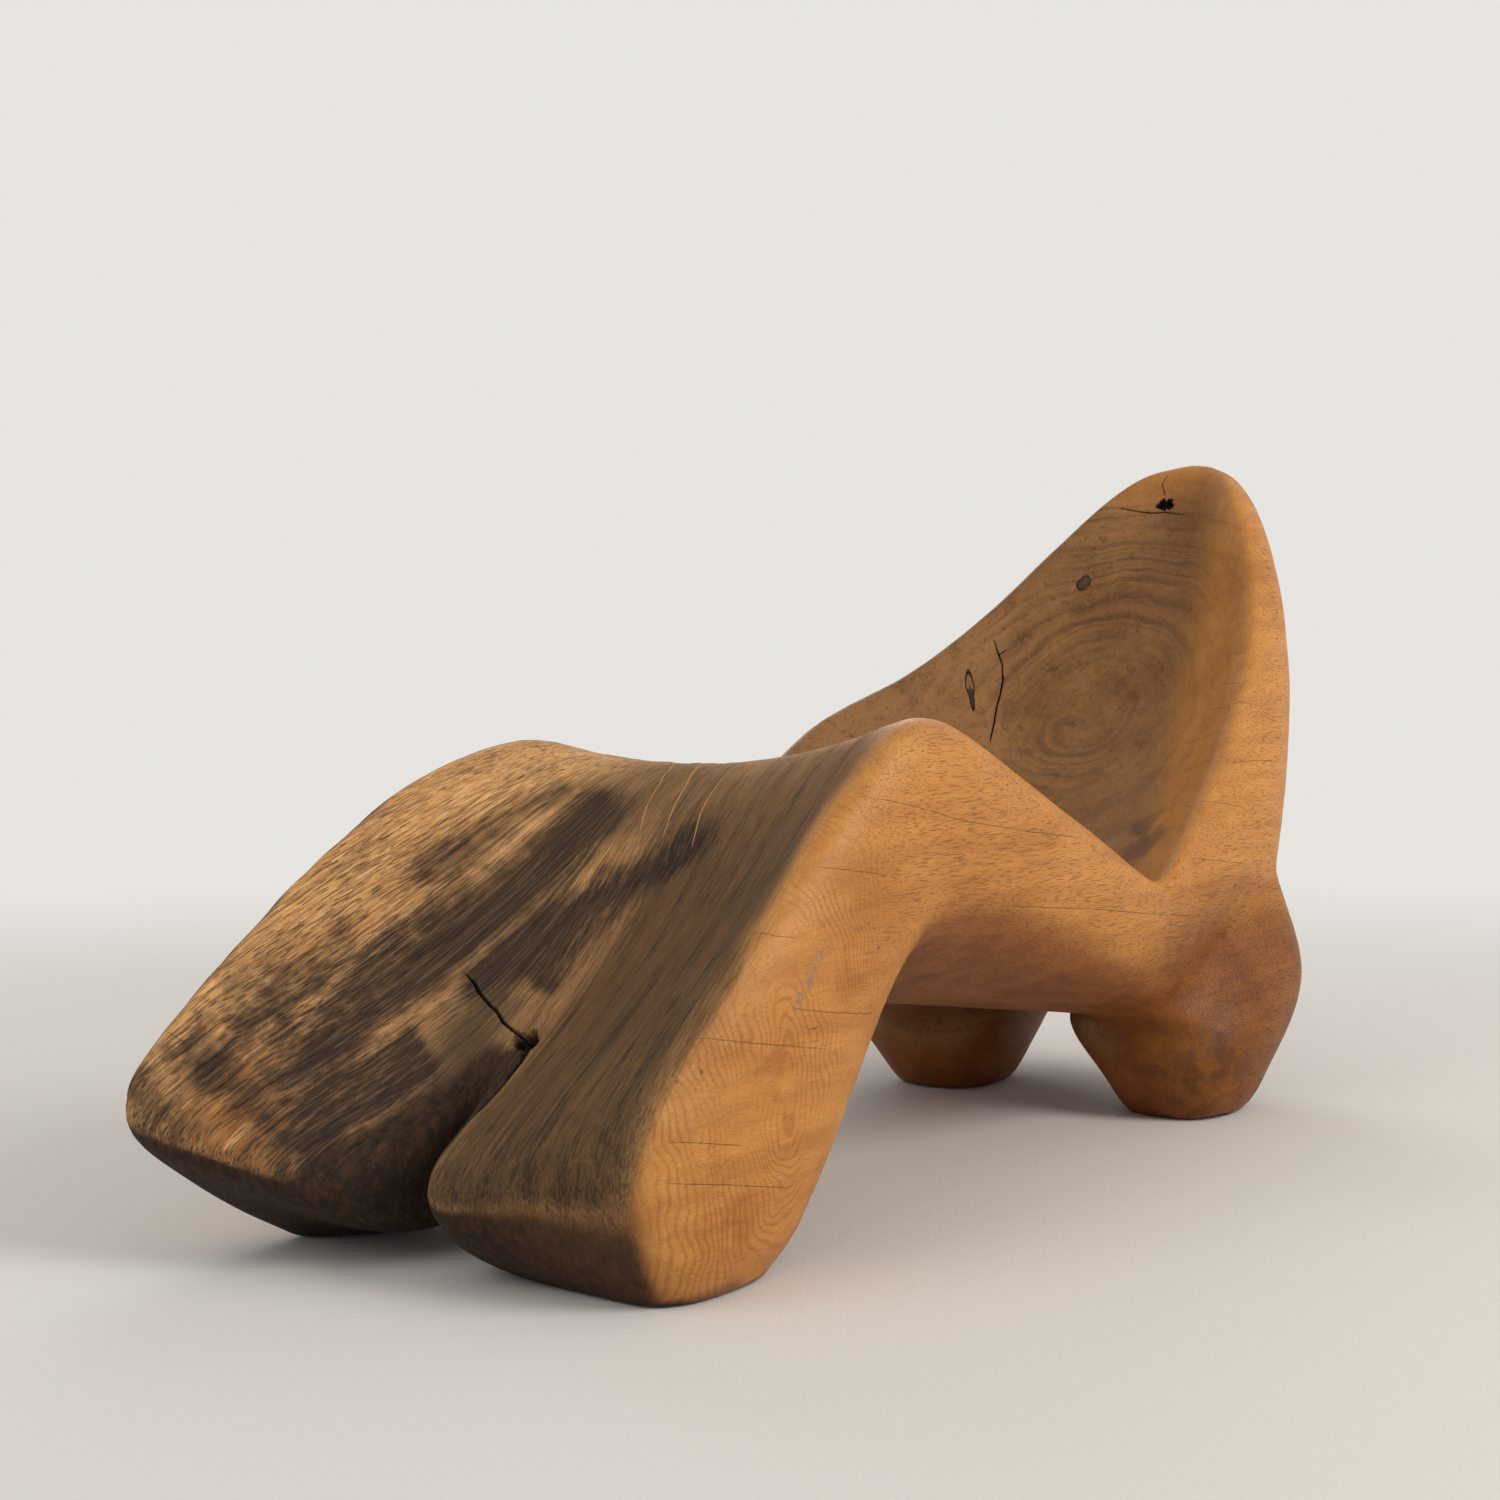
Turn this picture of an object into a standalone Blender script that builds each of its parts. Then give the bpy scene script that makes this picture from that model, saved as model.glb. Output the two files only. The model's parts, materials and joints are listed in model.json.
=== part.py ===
"""Chaise longue carved from one log, with its dead knots, a bark pocket and four floor pads.

The log lies along +X with the foot end at -X. The near side is -Y, and the far side, +Y, has a raised wing.
Runs are measured along the log from the line of the front feet, heights from the floor.
The finished part is moved so that its origin lies on the floor, under the middle of its box.
"""
import math

import bmesh
import bpy
from mathutils import Matrix, Vector
from mathutils.bvhtree import BVHTree

# Main sizes: runs along the log from the line of the front feet, half the width, and heights from the floor
KNEE_RUN = 0.360
SEAT_LENGTH = 0.620
BACK_LENGTH = 0.640
HALF_WIDTH = 0.280
KNEE_HEIGHT = 0.535
SEAT_HEIGHT = 0.265
CROWN_HEIGHT = 0.945
VALLEY_RUN = KNEE_RUN + SEAT_LENGTH
CROWN_RUN = VALLEY_RUN + BACK_LENGTH

# Clearance that touching pieces keep
GAP = 0.0003

# Floor pads glued under the feet, and their places on the two front soles
PAD_THICKNESS = 0.003
PAD_RADIUS = 0.030
PAD_SIDES = 24
PAD_FRONT_NEAR = (0.060, -HALF_WIDTH + 0.115)
PAD_FRONT_FAR = (0.040, HALF_WIDTH - 0.087)

# How far the carved soles run below the floor before they are sawn level
SOLE_DEPTH = 0.045
FOOT_DEPTH = 0.010

# Landmarks of the upper surface, from the foot end to the crown of the back: run, side and height
TOE_NEAR = (-0.060, -HALF_WIDTH + 0.025, 0.180)
TOE_CLEFT = (-0.140, 0.035, 0.095)
TOE_FAR = (-0.235, HALF_WIDTH + 0.020, 0.165)
INSTEP_TROUGH = (0.110, 0.025, 0.215)
INSTEP_FAR = (-0.080, HALF_WIDTH + 0.020, 0.330)
SHIN_NEAR = (KNEE_RUN - 0.125, -HALF_WIDTH + 0.005, KNEE_HEIGHT - 0.080)
SHIN_FAR = (KNEE_RUN - 0.255, HALF_WIDTH + 0.020, KNEE_HEIGHT - 0.075)
KNEE_NEAR = (KNEE_RUN + 0.025, -HALF_WIDTH, KNEE_HEIGHT + 0.035)
KNEE_SADDLE = (KNEE_RUN, 0.000, KNEE_HEIGHT - 0.035)
KNEE_FAR = (KNEE_RUN - 0.025, HALF_WIDTH, KNEE_HEIGHT)
LAP_FAR = (KNEE_RUN + 0.290, HALF_WIDTH + 0.020, SEAT_HEIGHT + 0.145)
VALLEY_NEAR = (VALLEY_RUN - 0.020, -HALF_WIDTH + 0.005, SEAT_HEIGHT + 0.065)
VALLEY_HOLLOW = (VALLEY_RUN + 0.020, 0.020, SEAT_HEIGHT)
WING_FRONT = (VALLEY_RUN - 0.025, HALF_WIDTH + 0.080, SEAT_HEIGHT + 0.230)
WING_TIP = (VALLEY_RUN + 0.070, HALF_WIDTH + 0.095, SEAT_HEIGHT + 0.290)
WING_NOTCH = (VALLEY_RUN + 0.270, HALF_WIDTH + 0.005, SEAT_HEIGHT + 0.375)
RIB_NEAR = (VALLEY_RUN + 0.240, -HALF_WIDTH + 0.035, SEAT_HEIGHT + 0.265)
RIB_HOLLOW = (VALLEY_RUN + 0.310, 0.010, SEAT_HEIGHT + 0.195)
SHOULDER_NEAR = (CROWN_RUN - 0.235, -HALF_WIDTH + 0.065, CROWN_HEIGHT - 0.265)
SHOULDER_HOLLOW = (CROWN_RUN - 0.190, 0.000, CROWN_HEIGHT - 0.325)
SHOULDER_FAR = (CROWN_RUN - 0.245, HALF_WIDTH - 0.065, CROWN_HEIGHT - 0.220)
NAPE_NEAR = (CROWN_RUN - 0.095, -0.140, CROWN_HEIGHT - 0.105)
NAPE_HOLLOW = (CROWN_RUN - 0.065, 0.000, CROWN_HEIGHT - 0.145)
NAPE_FAR = (CROWN_RUN - 0.105, 0.125, CROWN_HEIGHT - 0.080)
CROWN_NEAR = (CROWN_RUN - 0.020, -0.060, CROWN_HEIGHT - 0.030)
CROWN_MIDDLE = (CROWN_RUN, -0.005, CROWN_HEIGHT)
CROWN_FAR = (CROWN_RUN - 0.025, 0.055, CROWN_HEIGHT - 0.020)

# Landmarks of the underside, from the front feet to the poll behind the crown
BALL_NEAR = (0.000, -HALF_WIDTH + 0.030, -SOLE_DEPTH)
BALL_CLEFT = (-0.020, 0.025, 0.000)
BALL_FAR = (-0.160, HALF_WIDTH - 0.030, 0.080)
HEEL_NEAR = (0.165, -HALF_WIDTH + 0.020, -SOLE_DEPTH)
HEEL_MIDDLE = (0.120, 0.025, 0.045)
HEEL_FAR = (0.050, HALF_WIDTH - 0.065, -2 * SOLE_DEPTH)
ARCH_NEAR = (KNEE_RUN + 0.005, -HALF_WIDTH + 0.010, KNEE_HEIGHT - 0.250)
ARCH_MIDDLE = (KNEE_RUN, 0.020, KNEE_HEIGHT - 0.315)
ARCH_FAR = (KNEE_RUN - 0.015, HALF_WIDTH - 0.025, KNEE_HEIGHT - 0.275)
BELLY_NEAR = (KNEE_RUN + 0.110, -HALF_WIDTH + 0.005, KNEE_HEIGHT - 0.205)
BELLY_MIDDLE = (KNEE_RUN + 0.110, 0.000, KNEE_HEIGHT - 0.335)
BELLY_FAR = (KNEE_RUN + 0.095, HALF_WIDTH - 0.020, KNEE_HEIGHT - 0.235)
CORNER_NEAR = (VALLEY_RUN - 0.015, -HALF_WIDTH + 0.020, SEAT_HEIGHT - 0.115)
CORNER_MIDDLE = (VALLEY_RUN + 0.010, 0.000, SEAT_HEIGHT - 0.135)
CORNER_FAR = (VALLEY_RUN - 0.015, HALF_WIDTH - 0.010, SEAT_HEIGHT - 0.105)
WAIST_NEAR = (VALLEY_RUN + 0.345, -HALF_WIDTH - 0.010, SEAT_HEIGHT + 0.070)
WAIST_MIDDLE = (VALLEY_RUN + 0.350, -0.005, SEAT_HEIGHT + 0.020)
WAIST_FAR = (VALLEY_RUN + 0.300, HALF_WIDTH - 0.020, SEAT_HEIGHT + 0.055)
BLADE_NEAR = (CROWN_RUN - 0.150, -HALF_WIDTH + 0.040, CROWN_HEIGHT - 0.415)
BLADE_MIDDLE = (CROWN_RUN - 0.075, -0.005, CROWN_HEIGHT - 0.445)
BLADE_FAR = (CROWN_RUN - 0.150, HALF_WIDTH - 0.060, CROWN_HEIGHT - 0.415)
NECK_NEAR = (CROWN_RUN - 0.010, -0.155, CROWN_HEIGHT - 0.205)
NECK_MIDDLE = (CROWN_RUN + 0.065, -0.005, CROWN_HEIGHT - 0.225)
NECK_FAR = (CROWN_RUN - 0.010, 0.140, CROWN_HEIGHT - 0.205)
POLL_NEAR = (CROWN_RUN + 0.060, -0.075, CROWN_HEIGHT - 0.075)
POLL_MIDDLE = (CROWN_RUN + 0.105, -0.005, CROWN_HEIGHT - 0.080)
POLL_FAR = (CROWN_RUN + 0.060, 0.060, CROWN_HEIGHT - 0.075)

# Rounding of the sides and ends, and the cleft between the two front lobes
SIDE_BULGE = 0.030
END_BULGE = 0.020
CLEFT_WIDTH = 0.045

# Rear legs: rings of the haunch, hock, shank and foot, and the crease where a haunch leaves the body
HAUNCH_HEIGHT = SEAT_HEIGHT - 0.100
HAUNCH_RUN = VALLEY_RUN + 0.225
HAUNCH_HALF_LENGTH = 0.205
HAUNCH_HALF_WIDTH = 0.155
HAUNCH_NEAR = -HALF_WIDTH + 0.093
HAUNCH_FAR = HALF_WIDTH - 0.100
HOCK_HEIGHT = SEAT_HEIGHT - 0.160
HOCK_RUN = VALLEY_RUN + 0.200
HOCK_HALF_LENGTH = 0.195
HOCK_HALF_WIDTH = 0.132
HOCK_NEAR = -HALF_WIDTH + 0.075
HOCK_FAR = HALF_WIDTH - 0.120
SHANK_HEIGHT = 0.050
SHANK_RUN = VALLEY_RUN + 0.160
SHANK_HALF_LENGTH = 0.135
SHANK_HALF_WIDTH = 0.100
SHANK_NEAR = -HALF_WIDTH + 0.063
SHANK_FAR = HALF_WIDTH - 0.135
FOOT_RUN = VALLEY_RUN + 0.145
FOOT_HALF_LENGTH = 0.088
FOOT_HALF_WIDTH = 0.075
FOOT_NEAR = -HALF_WIDTH + 0.055
FOOT_FAR = HALF_WIDTH - 0.145
LEG_ROUNDNESS = 0.75
HAUNCH_TILT = 0.050
HOCK_TILT = 0.025
CREASE_INSET = 0.030
CREASE_DROP = 0.010

# Dead knots and bark: side and height on the hollow of the back, half length, half width, depth and sink
BACK_KNOT_PLACE = (0.109, CROWN_HEIGHT - 0.210)
BACK_KNOT_SIZE = (0.0150, 0.0115, 0.030)
BACK_KNOT_SINK = 0.0005
CROWN_KNOT_PLACE = (0.020, CROWN_HEIGHT - 0.084)
CROWN_KNOT_SIZE = (0.0130, 0.0095, 0.020)
CROWN_KNOT_SINK = 0.0120
BARK_PLACE = (HALF_WIDTH - 0.076, SEAT_HEIGHT + 0.300)
BARK_SIZE = (0.0350, 0.0065, 0.015)
BARK_SINK = 0.0015
PLUG_TAPER = 0.85
PLUG_SIDES = 20
SOCKET_PROUD = 0.020
BACK_KNOT = (BACK_KNOT_PLACE, BACK_KNOT_SIZE, BACK_KNOT_SINK)
CROWN_KNOT = (CROWN_KNOT_PLACE, CROWN_KNOT_SIZE, CROWN_KNOT_SINK)
BARK = (BARK_PLACE, BARK_SIZE, BARK_SINK)

# Place of each row along the body: whole numbers at the knee, the valley and the crown
ROWS = {
    "toe": 0.00,
    "instep": 0.40,
    "shin": 0.75,
    "knee": 1.00,
    "thigh": 1.20,
    "lap": 1.60,
    "seat": 1.88,
    "valley": 2.00,
    "lumbar": 2.12,
    "waist": 2.28,
    "rib": 2.45,
    "shoulder": 2.70,
    "nape": 2.88,
    "crown": 3.00,
}
ROW_NAMES = tuple(ROWS)
LAST_ROW = len(ROW_NAMES) - 1
CLEFT_END = ROW_NAMES.index("instep")
LEG_ROWS = (ROW_NAMES.index("valley"), ROW_NAMES.index("rib"))

# Place of each column across the body, from the near edge to the far edge
COLUMNS = (-1.0, -0.8, -0.42, 0.0, 0.42, 0.8, 1.0)
MIDDLE = len(COLUMNS) // 2
LAST_COLUMN = len(COLUMNS) - 1

# Near edge, middle and far edge of each surface, by row
TOP_LINES = (
    {"toe": TOE_NEAR, "shin": SHIN_NEAR, "knee": KNEE_NEAR, "valley": VALLEY_NEAR, "rib": RIB_NEAR,
     "shoulder": SHOULDER_NEAR, "nape": NAPE_NEAR, "crown": CROWN_NEAR},
    {"toe": TOE_CLEFT, "instep": INSTEP_TROUGH, "knee": KNEE_SADDLE, "valley": VALLEY_HOLLOW,
     "rib": RIB_HOLLOW, "shoulder": SHOULDER_HOLLOW, "nape": NAPE_HOLLOW, "crown": CROWN_MIDDLE},
    {"toe": TOE_FAR, "instep": INSTEP_FAR, "shin": SHIN_FAR, "knee": KNEE_FAR, "lap": LAP_FAR,
     "valley": WING_FRONT, "lumbar": WING_TIP, "rib": WING_NOTCH, "shoulder": SHOULDER_FAR,
     "nape": NAPE_FAR, "crown": CROWN_FAR},
)
UNDER_LINES = (
    {"toe": BALL_NEAR, "instep": HEEL_NEAR, "knee": ARCH_NEAR, "thigh": BELLY_NEAR, "valley": CORNER_NEAR,
     "rib": WAIST_NEAR, "shoulder": BLADE_NEAR, "nape": NECK_NEAR, "crown": POLL_NEAR},
    {"toe": BALL_CLEFT, "instep": HEEL_MIDDLE, "knee": ARCH_MIDDLE, "thigh": BELLY_MIDDLE,
     "valley": CORNER_MIDDLE, "rib": WAIST_MIDDLE, "shoulder": BLADE_MIDDLE, "nape": NECK_MIDDLE,
     "crown": POLL_MIDDLE},
    {"toe": BALL_FAR, "instep": HEEL_FAR, "knee": ARCH_FAR, "thigh": BELLY_FAR, "valley": CORNER_FAR,
     "rib": WAIST_FAR, "shoulder": BLADE_FAR, "nape": NECK_FAR, "crown": POLL_FAR},
)

# How flat the hollow of a surface is, by row: 1 is a straight trough, 4 a nearly flat floor
TOP_FLATNESS = {"toe": 1.3, "knee": 2.0, "valley": 3.0, "rib": 4.0, "crown": 2.0}
UNDER_FLATNESS = {"toe": 2.0, "instep": 1.0, "shin": 2.0, "crown": 2.0}

SUBDIVISIONS = 2


# Materials


def material(name, colour, roughness):
    finish = bpy.data.materials.new(name)
    finish.use_nodes = True
    shader = finish.node_tree.nodes["Principled BSDF"]
    shader.inputs["Base Color"].default_value = (*colour, 1.0)
    shader.inputs["Roughness"].default_value = roughness
    shader.inputs["Metallic"].default_value = 0.0
    return finish


def add_object(name, bm, finish=None):
    mesh = bpy.data.meshes.new(name)
    bm.to_mesh(mesh)
    bm.free()
    if finish:
        mesh.materials.append(finish)
    mesh.shade_smooth()
    piece = bpy.data.objects.new(name, mesh)
    bpy.context.collection.objects.link(piece)
    return piece


def cut_from(body, cutter):
    """Take a hidden cutter out of a body."""
    cutter.hide_render = True
    cutter.display_type = "WIRE"
    cut = body.modifiers.new(cutter.name, "BOOLEAN")
    cut.operation = "DIFFERENCE"
    cut.solver = "EXACT"
    cut.object = cutter


# Control cage of the carved log


def along(values, row):
    """Value at a row, straight between the rows that are given."""
    place = ROWS[row]
    before = max((name for name in values if ROWS[name] <= place), key=ROWS.get)
    after = min((name for name in values if ROWS[name] >= place), key=ROWS.get)
    if before == after:
        return values[before]
    share = (place - ROWS[before]) / (ROWS[after] - ROWS[before])
    return values[before] + (values[after] - values[before]) * share


def surface_point(lines, flatness, row, column):
    """Point of a surface: a chord from edge to edge, hollowed or swollen towards the middle."""
    near, middle, far = (along({name: Vector(mark) for name, mark in line.items()}, row) for line in lines)
    across = COLUMNS[column]
    chord = near.lerp(far, (across + 1) / 2)
    hollow = middle - near.lerp(far, 0.5)
    return chord + hollow * (1 - abs(across) ** along(flatness, row))


def sheet_points(bm, lines, flatness):
    """Vertices of one surface by row, column and lobe. The cleft splits the middle column in two."""
    points = {}
    for i, row in enumerate(ROW_NAMES):
        for j in range(len(COLUMNS)):
            point = surface_point(lines, flatness, row, j)
            if j == MIDDLE and i < CLEFT_END:
                half = Vector((0, CLEFT_WIDTH / 2, 0))
                points[i, j, "near"] = bm.verts.new(point - half)
                points[i, j, "far"] = bm.verts.new(point + half)
            else:
                points[i, j, "near"] = points[i, j, "far"] = bm.verts.new(point)
    return points


def edge_path():
    """Spots round the edge of the sheets: foot end, cleft, far side, crown and near side."""
    path = [(0, j, "near") for j in range(MIDDLE + 1)]
    path += [(i, MIDDLE, "near") for i in range(1, CLEFT_END + 1)]
    path += [(i, MIDDLE, "far") for i in range(CLEFT_END - 1, -1, -1)]
    path += [(0, j, "far") for j in range(MIDDLE + 1, LAST_COLUMN + 1)]
    path += [(i, LAST_COLUMN, "far") for i in range(1, LAST_ROW + 1)]
    path += [(LAST_ROW, j, "far") for j in range(LAST_COLUMN - 1, -1, -1)]
    path += [(i, 0, "near") for i in range(LAST_ROW - 1, 0, -1)]
    return path


def edge_middle(top, under, spot):
    """Point halfway down the edge, pushed out so that the sides and ends are round."""
    i, j, lobe = spot
    middle = (top[spot].co + under[spot].co) / 2
    if j == 0:
        middle.y -= SIDE_BULGE
    if j == LAST_COLUMN:
        middle.y += SIDE_BULGE
    if i == 0:
        middle.x -= END_BULGE
    if i == LAST_ROW:
        middle += (top[spot].co - top[i - 1, j, lobe].co).normalized() * END_BULGE
    return middle


def in_leg(i, j):
    """Whether a face of the underside is where a rear leg leaves it."""
    return LEG_ROWS[0] <= i < LEG_ROWS[1] and j not in (MIDDLE - 1, MIDDLE)


def body_cage(bm):
    """Cage of the body: an upper and a lower sheet, joined round their edge. Returns the lower sheet."""
    top = sheet_points(bm, TOP_LINES, TOP_FLATNESS)
    under = sheet_points(bm, UNDER_LINES, UNDER_FLATNESS)
    for i in range(LAST_ROW):
        for j in range(LAST_COLUMN):
            lobe = "near" if j < MIDDLE else "far"
            corners = ((i, j, lobe), (i + 1, j, lobe), (i + 1, j + 1, lobe), (i, j + 1, lobe))
            bm.faces.new([top[corner] for corner in corners])
            if not in_leg(i, j):
                bm.faces.new([under[corner] for corner in reversed(corners)])
    path = edge_path()
    middles = [bm.verts.new(edge_middle(top, under, spot)) for spot in path]
    for k, spot in enumerate(path):
        n = (k + 1) % len(path)
        bm.faces.new((top[path[n]], top[spot], middles[k], middles[n]))
        bm.faces.new((middles[n], middles[k], under[spot], under[path[n]]))
    return under


def leg_cage(bm, under, columns, sides):
    """Cage of a rear leg, drawn down from the underside through the crease to the foot."""
    first_row, last_row = LEG_ROWS
    first_column, last_column = columns
    spots = [(i, first_column) for i in range(first_row, last_row)]
    spots += [(last_row, j) for j in range(first_column, last_column)]
    spots += [(i, last_column) for i in range(last_row, first_row, -1)]
    spots += [(first_row, j) for j in range(last_column, first_column, -1)]
    haunch_side, hock_side, shank_side, foot_side = sides
    rings = (
        (HAUNCH_RUN, haunch_side, HAUNCH_HEIGHT, HAUNCH_HALF_LENGTH, HAUNCH_HALF_WIDTH, HAUNCH_TILT),
        (HOCK_RUN, hock_side, HOCK_HEIGHT, HOCK_HALF_LENGTH, HOCK_HALF_WIDTH, HOCK_TILT),
        (SHANK_RUN, shank_side, SHANK_HEIGHT, SHANK_HALF_LENGTH, SHANK_HALF_WIDTH, 0),
        (FOOT_RUN, foot_side, -FOOT_DEPTH, FOOT_HALF_LENGTH, FOOT_HALF_WIDTH, 0),
    )

    def ring_point(spot, run, side, height, half_length, half_width, tilt):
        lengthwise = 2 * (spot[0] - first_row) / (last_row - first_row) - 1
        across = 2 * (spot[1] - first_column) / (last_column - first_column) - 1
        round_length = lengthwise * math.sqrt(1 - LEG_ROUNDNESS * across ** 2 / 2)
        round_width = across * math.sqrt(1 - LEG_ROUNDNESS * lengthwise ** 2 / 2)
        place = Vector((run + round_length * half_length, side + round_width * half_width, height))
        return place + Vector((0, 0, lengthwise * tilt))

    def crease_point(spot):
        start = under[*spot, "near"].co
        inward = (Vector((HAUNCH_RUN, haunch_side, start.z)) - start).normalized()
        fade = (last_row - spot[0]) / (last_row - first_row)
        return start + inward * CREASE_INSET * fade - Vector((0, 0, CREASE_DROP))

    loops = [[under[*spot, "near"] for spot in spots]]
    loops.append([bm.verts.new(crease_point(spot)) for spot in spots])
    for ring in rings:
        loops.append([bm.verts.new(ring_point(spot, *ring)) for spot in spots])
    for upper, lower in zip(loops, loops[1:]):
        for k in range(len(spots)):
            n = (k + 1) % len(spots)
            bm.faces.new((upper[k], upper[n], lower[n], lower[k]))
    sole = dict(zip(spots, loops[-1]))
    for i in range(first_row + 1, last_row):
        for j in range(first_column + 1, last_column):
            sole[i, j] = bm.verts.new(ring_point((i, j), *rings[-1]))
    for i in range(first_row, last_row):
        for j in range(first_column, last_column):
            bm.faces.new((sole[i, j], sole[i, j + 1], sole[i + 1, j + 1], sole[i + 1, j]))


def carved_trunk():
    bm = bmesh.new()
    under = body_cage(bm)
    leg_cage(bm, under, (0, MIDDLE - 1), (HAUNCH_NEAR, HOCK_NEAR, SHANK_NEAR, FOOT_NEAR))
    leg_cage(bm, under, (MIDDLE + 1, LAST_COLUMN), (HAUNCH_FAR, HOCK_FAR, SHANK_FAR, FOOT_FAR))
    bmesh.ops.recalc_face_normals(bm, faces=bm.faces)
    trunk = add_object("carved_trunk", bm, material("oiled_trunk_wood", (0.42, 0.22, 0.08), 0.45))
    rounding = trunk.modifiers.new("rounding", "SUBSURF")
    rounding.levels = SUBDIVISIONS
    rounding.render_levels = SUBDIVISIONS
    return trunk


def rounded_box(trunk, graph):
    """Low and high corner of the rounded log."""
    points = [vertex.co for vertex in trunk.evaluated_get(graph).to_mesh().vertices]
    low = Vector(min(point[axis] for point in points) for axis in range(3))
    high = Vector(max(point[axis] for point in points) for axis in range(3))
    return low, high


def saw_feet_level(trunk, low, high):
    """Take off what runs below the top of the floor pads."""
    level = PAD_THICKNESS + GAP
    size = (high - low) * 2
    centre = (low + high) / 2
    centre.z = level - size.z / 2
    bm = bmesh.new()
    bmesh.ops.create_cube(bm, matrix=Matrix.Translation(centre) @ Matrix.Diagonal((*size, 1.0)))
    cut_from(trunk, add_object("floor_cutter", bm))


# Knots and bark that the wood has grown round


def seat_on(surface, place):
    """Frame on the hollow of the back, level from the foot end: Z out of the wood, X down the slope."""
    side, height = place
    spot, normal, _, _ = surface.ray_cast(Vector((TOE_FAR[0], side, height)), Vector((1, 0, 0)))
    down = Vector((0, 0, -1))
    slope = (down - normal * down.dot(normal)).normalized()
    frame = Matrix((slope, normal.cross(slope), normal)).transposed().to_4x4()
    return Matrix.Translation(spot) @ frame


def plug_mesh(size, top, grow):
    """Oval plug from a height above the wood to its depth below it, tapered inwards from the surface."""
    half_length, half_width, depth = size
    bm = bmesh.new()
    rings = []
    for height in (top, -depth - grow):
        taper = 1 + (1 - PLUG_TAPER) * height / depth
        ring = []
        for k in range(PLUG_SIDES):
            angle = 2 * math.pi * k / PLUG_SIDES
            x = (half_length * taper + grow) * math.cos(angle)
            y = (half_width * taper + grow) * math.sin(angle)
            ring.append(bm.verts.new((x, y, height)))
        rings.append(ring)
    for k in range(PLUG_SIDES):
        n = (k + 1) % PLUG_SIDES
        bm.faces.new((rings[0][k], rings[1][k], rings[1][n], rings[0][n]))
    bm.faces.new(rings[0])
    bm.faces.new(list(reversed(rings[1])))
    return bm


def inclusion(name, trunk, surface, form, finish):
    """A knot or sliver of bark in its own socket in the wood."""
    place, size, sink = form
    frame = seat_on(surface, place)
    depth = (size[0], size[1], size[2] + sink)
    plug = add_object(name, plug_mesh(depth, -sink, 0.0), finish)
    plug.matrix_world = frame
    plug.data.set_sharp_from_angle(angle=math.radians(40))
    socket = add_object(name + "_socket", plug_mesh(depth, SOCKET_PROUD, GAP))
    socket.matrix_world = frame
    cut_from(trunk, socket)
    return plug


def floor_pad(name, centre, finish):
    bm = bmesh.new()
    bmesh.ops.create_cone(
        bm, cap_ends=True, segments=PAD_SIDES, radius1=PAD_RADIUS, radius2=PAD_RADIUS, depth=PAD_THICKNESS
    )
    pad = add_object(name, bm, finish)
    pad.data.set_sharp_from_angle(angle=math.radians(40))
    pad.location = (*centre, PAD_THICKNESS / 2)
    return pad


# Assembly


def build():
    for old in list(bpy.data.objects):
        bpy.data.objects.remove(old)
    trunk = carved_trunk()
    graph = bpy.context.evaluated_depsgraph_get()
    surface = BVHTree.FromObject(trunk, graph)
    low, high = rounded_box(trunk, graph)
    saw_feet_level(trunk, low, high)

    knot_wood = material("dead_knot_wood", (0.10, 0.055, 0.028), 0.7)
    bark = material("ingrown_bark", (0.07, 0.045, 0.03), 0.85)
    rot = material("rotted_knot_wood", (0.03, 0.02, 0.013), 0.9)
    felt = material("pad_felt", (0.11, 0.10, 0.09), 0.95)
    pieces = [
        trunk,
        inclusion("backrest_knot", trunk, surface, BACK_KNOT, knot_wood),
        inclusion("crown_knot", trunk, surface, CROWN_KNOT, rot),
        inclusion("wing_bark_pocket", trunk, surface, BARK, bark),
        floor_pad("floor_pad_front_near", PAD_FRONT_NEAR, felt),
        floor_pad("floor_pad_front_far", PAD_FRONT_FAR, felt),
        floor_pad("floor_pad_rear_near", (FOOT_RUN, FOOT_NEAR), felt),
        floor_pad("floor_pad_rear_far", (FOOT_RUN, FOOT_FAR), felt),
    ]

    origin = bpy.data.objects.new("chaise_origin", None)
    bpy.context.collection.objects.link(origin)
    middle = (low + high) / 2
    origin.location = (-middle.x, -middle.y, 0)
    cutters = [modifier.object for modifier in trunk.modifiers if modifier.type == "BOOLEAN"]
    for piece in pieces + cutters:
        piece.parent = origin


build()
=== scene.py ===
"""Looks of a chaise longue carved from one log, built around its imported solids."""
import json
import math
from collections import namedtuple

import bmesh
import bpy
import numpy as np
from mathutils import Matrix, Vector
from mathutils.bvhtree import BVHTree

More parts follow.
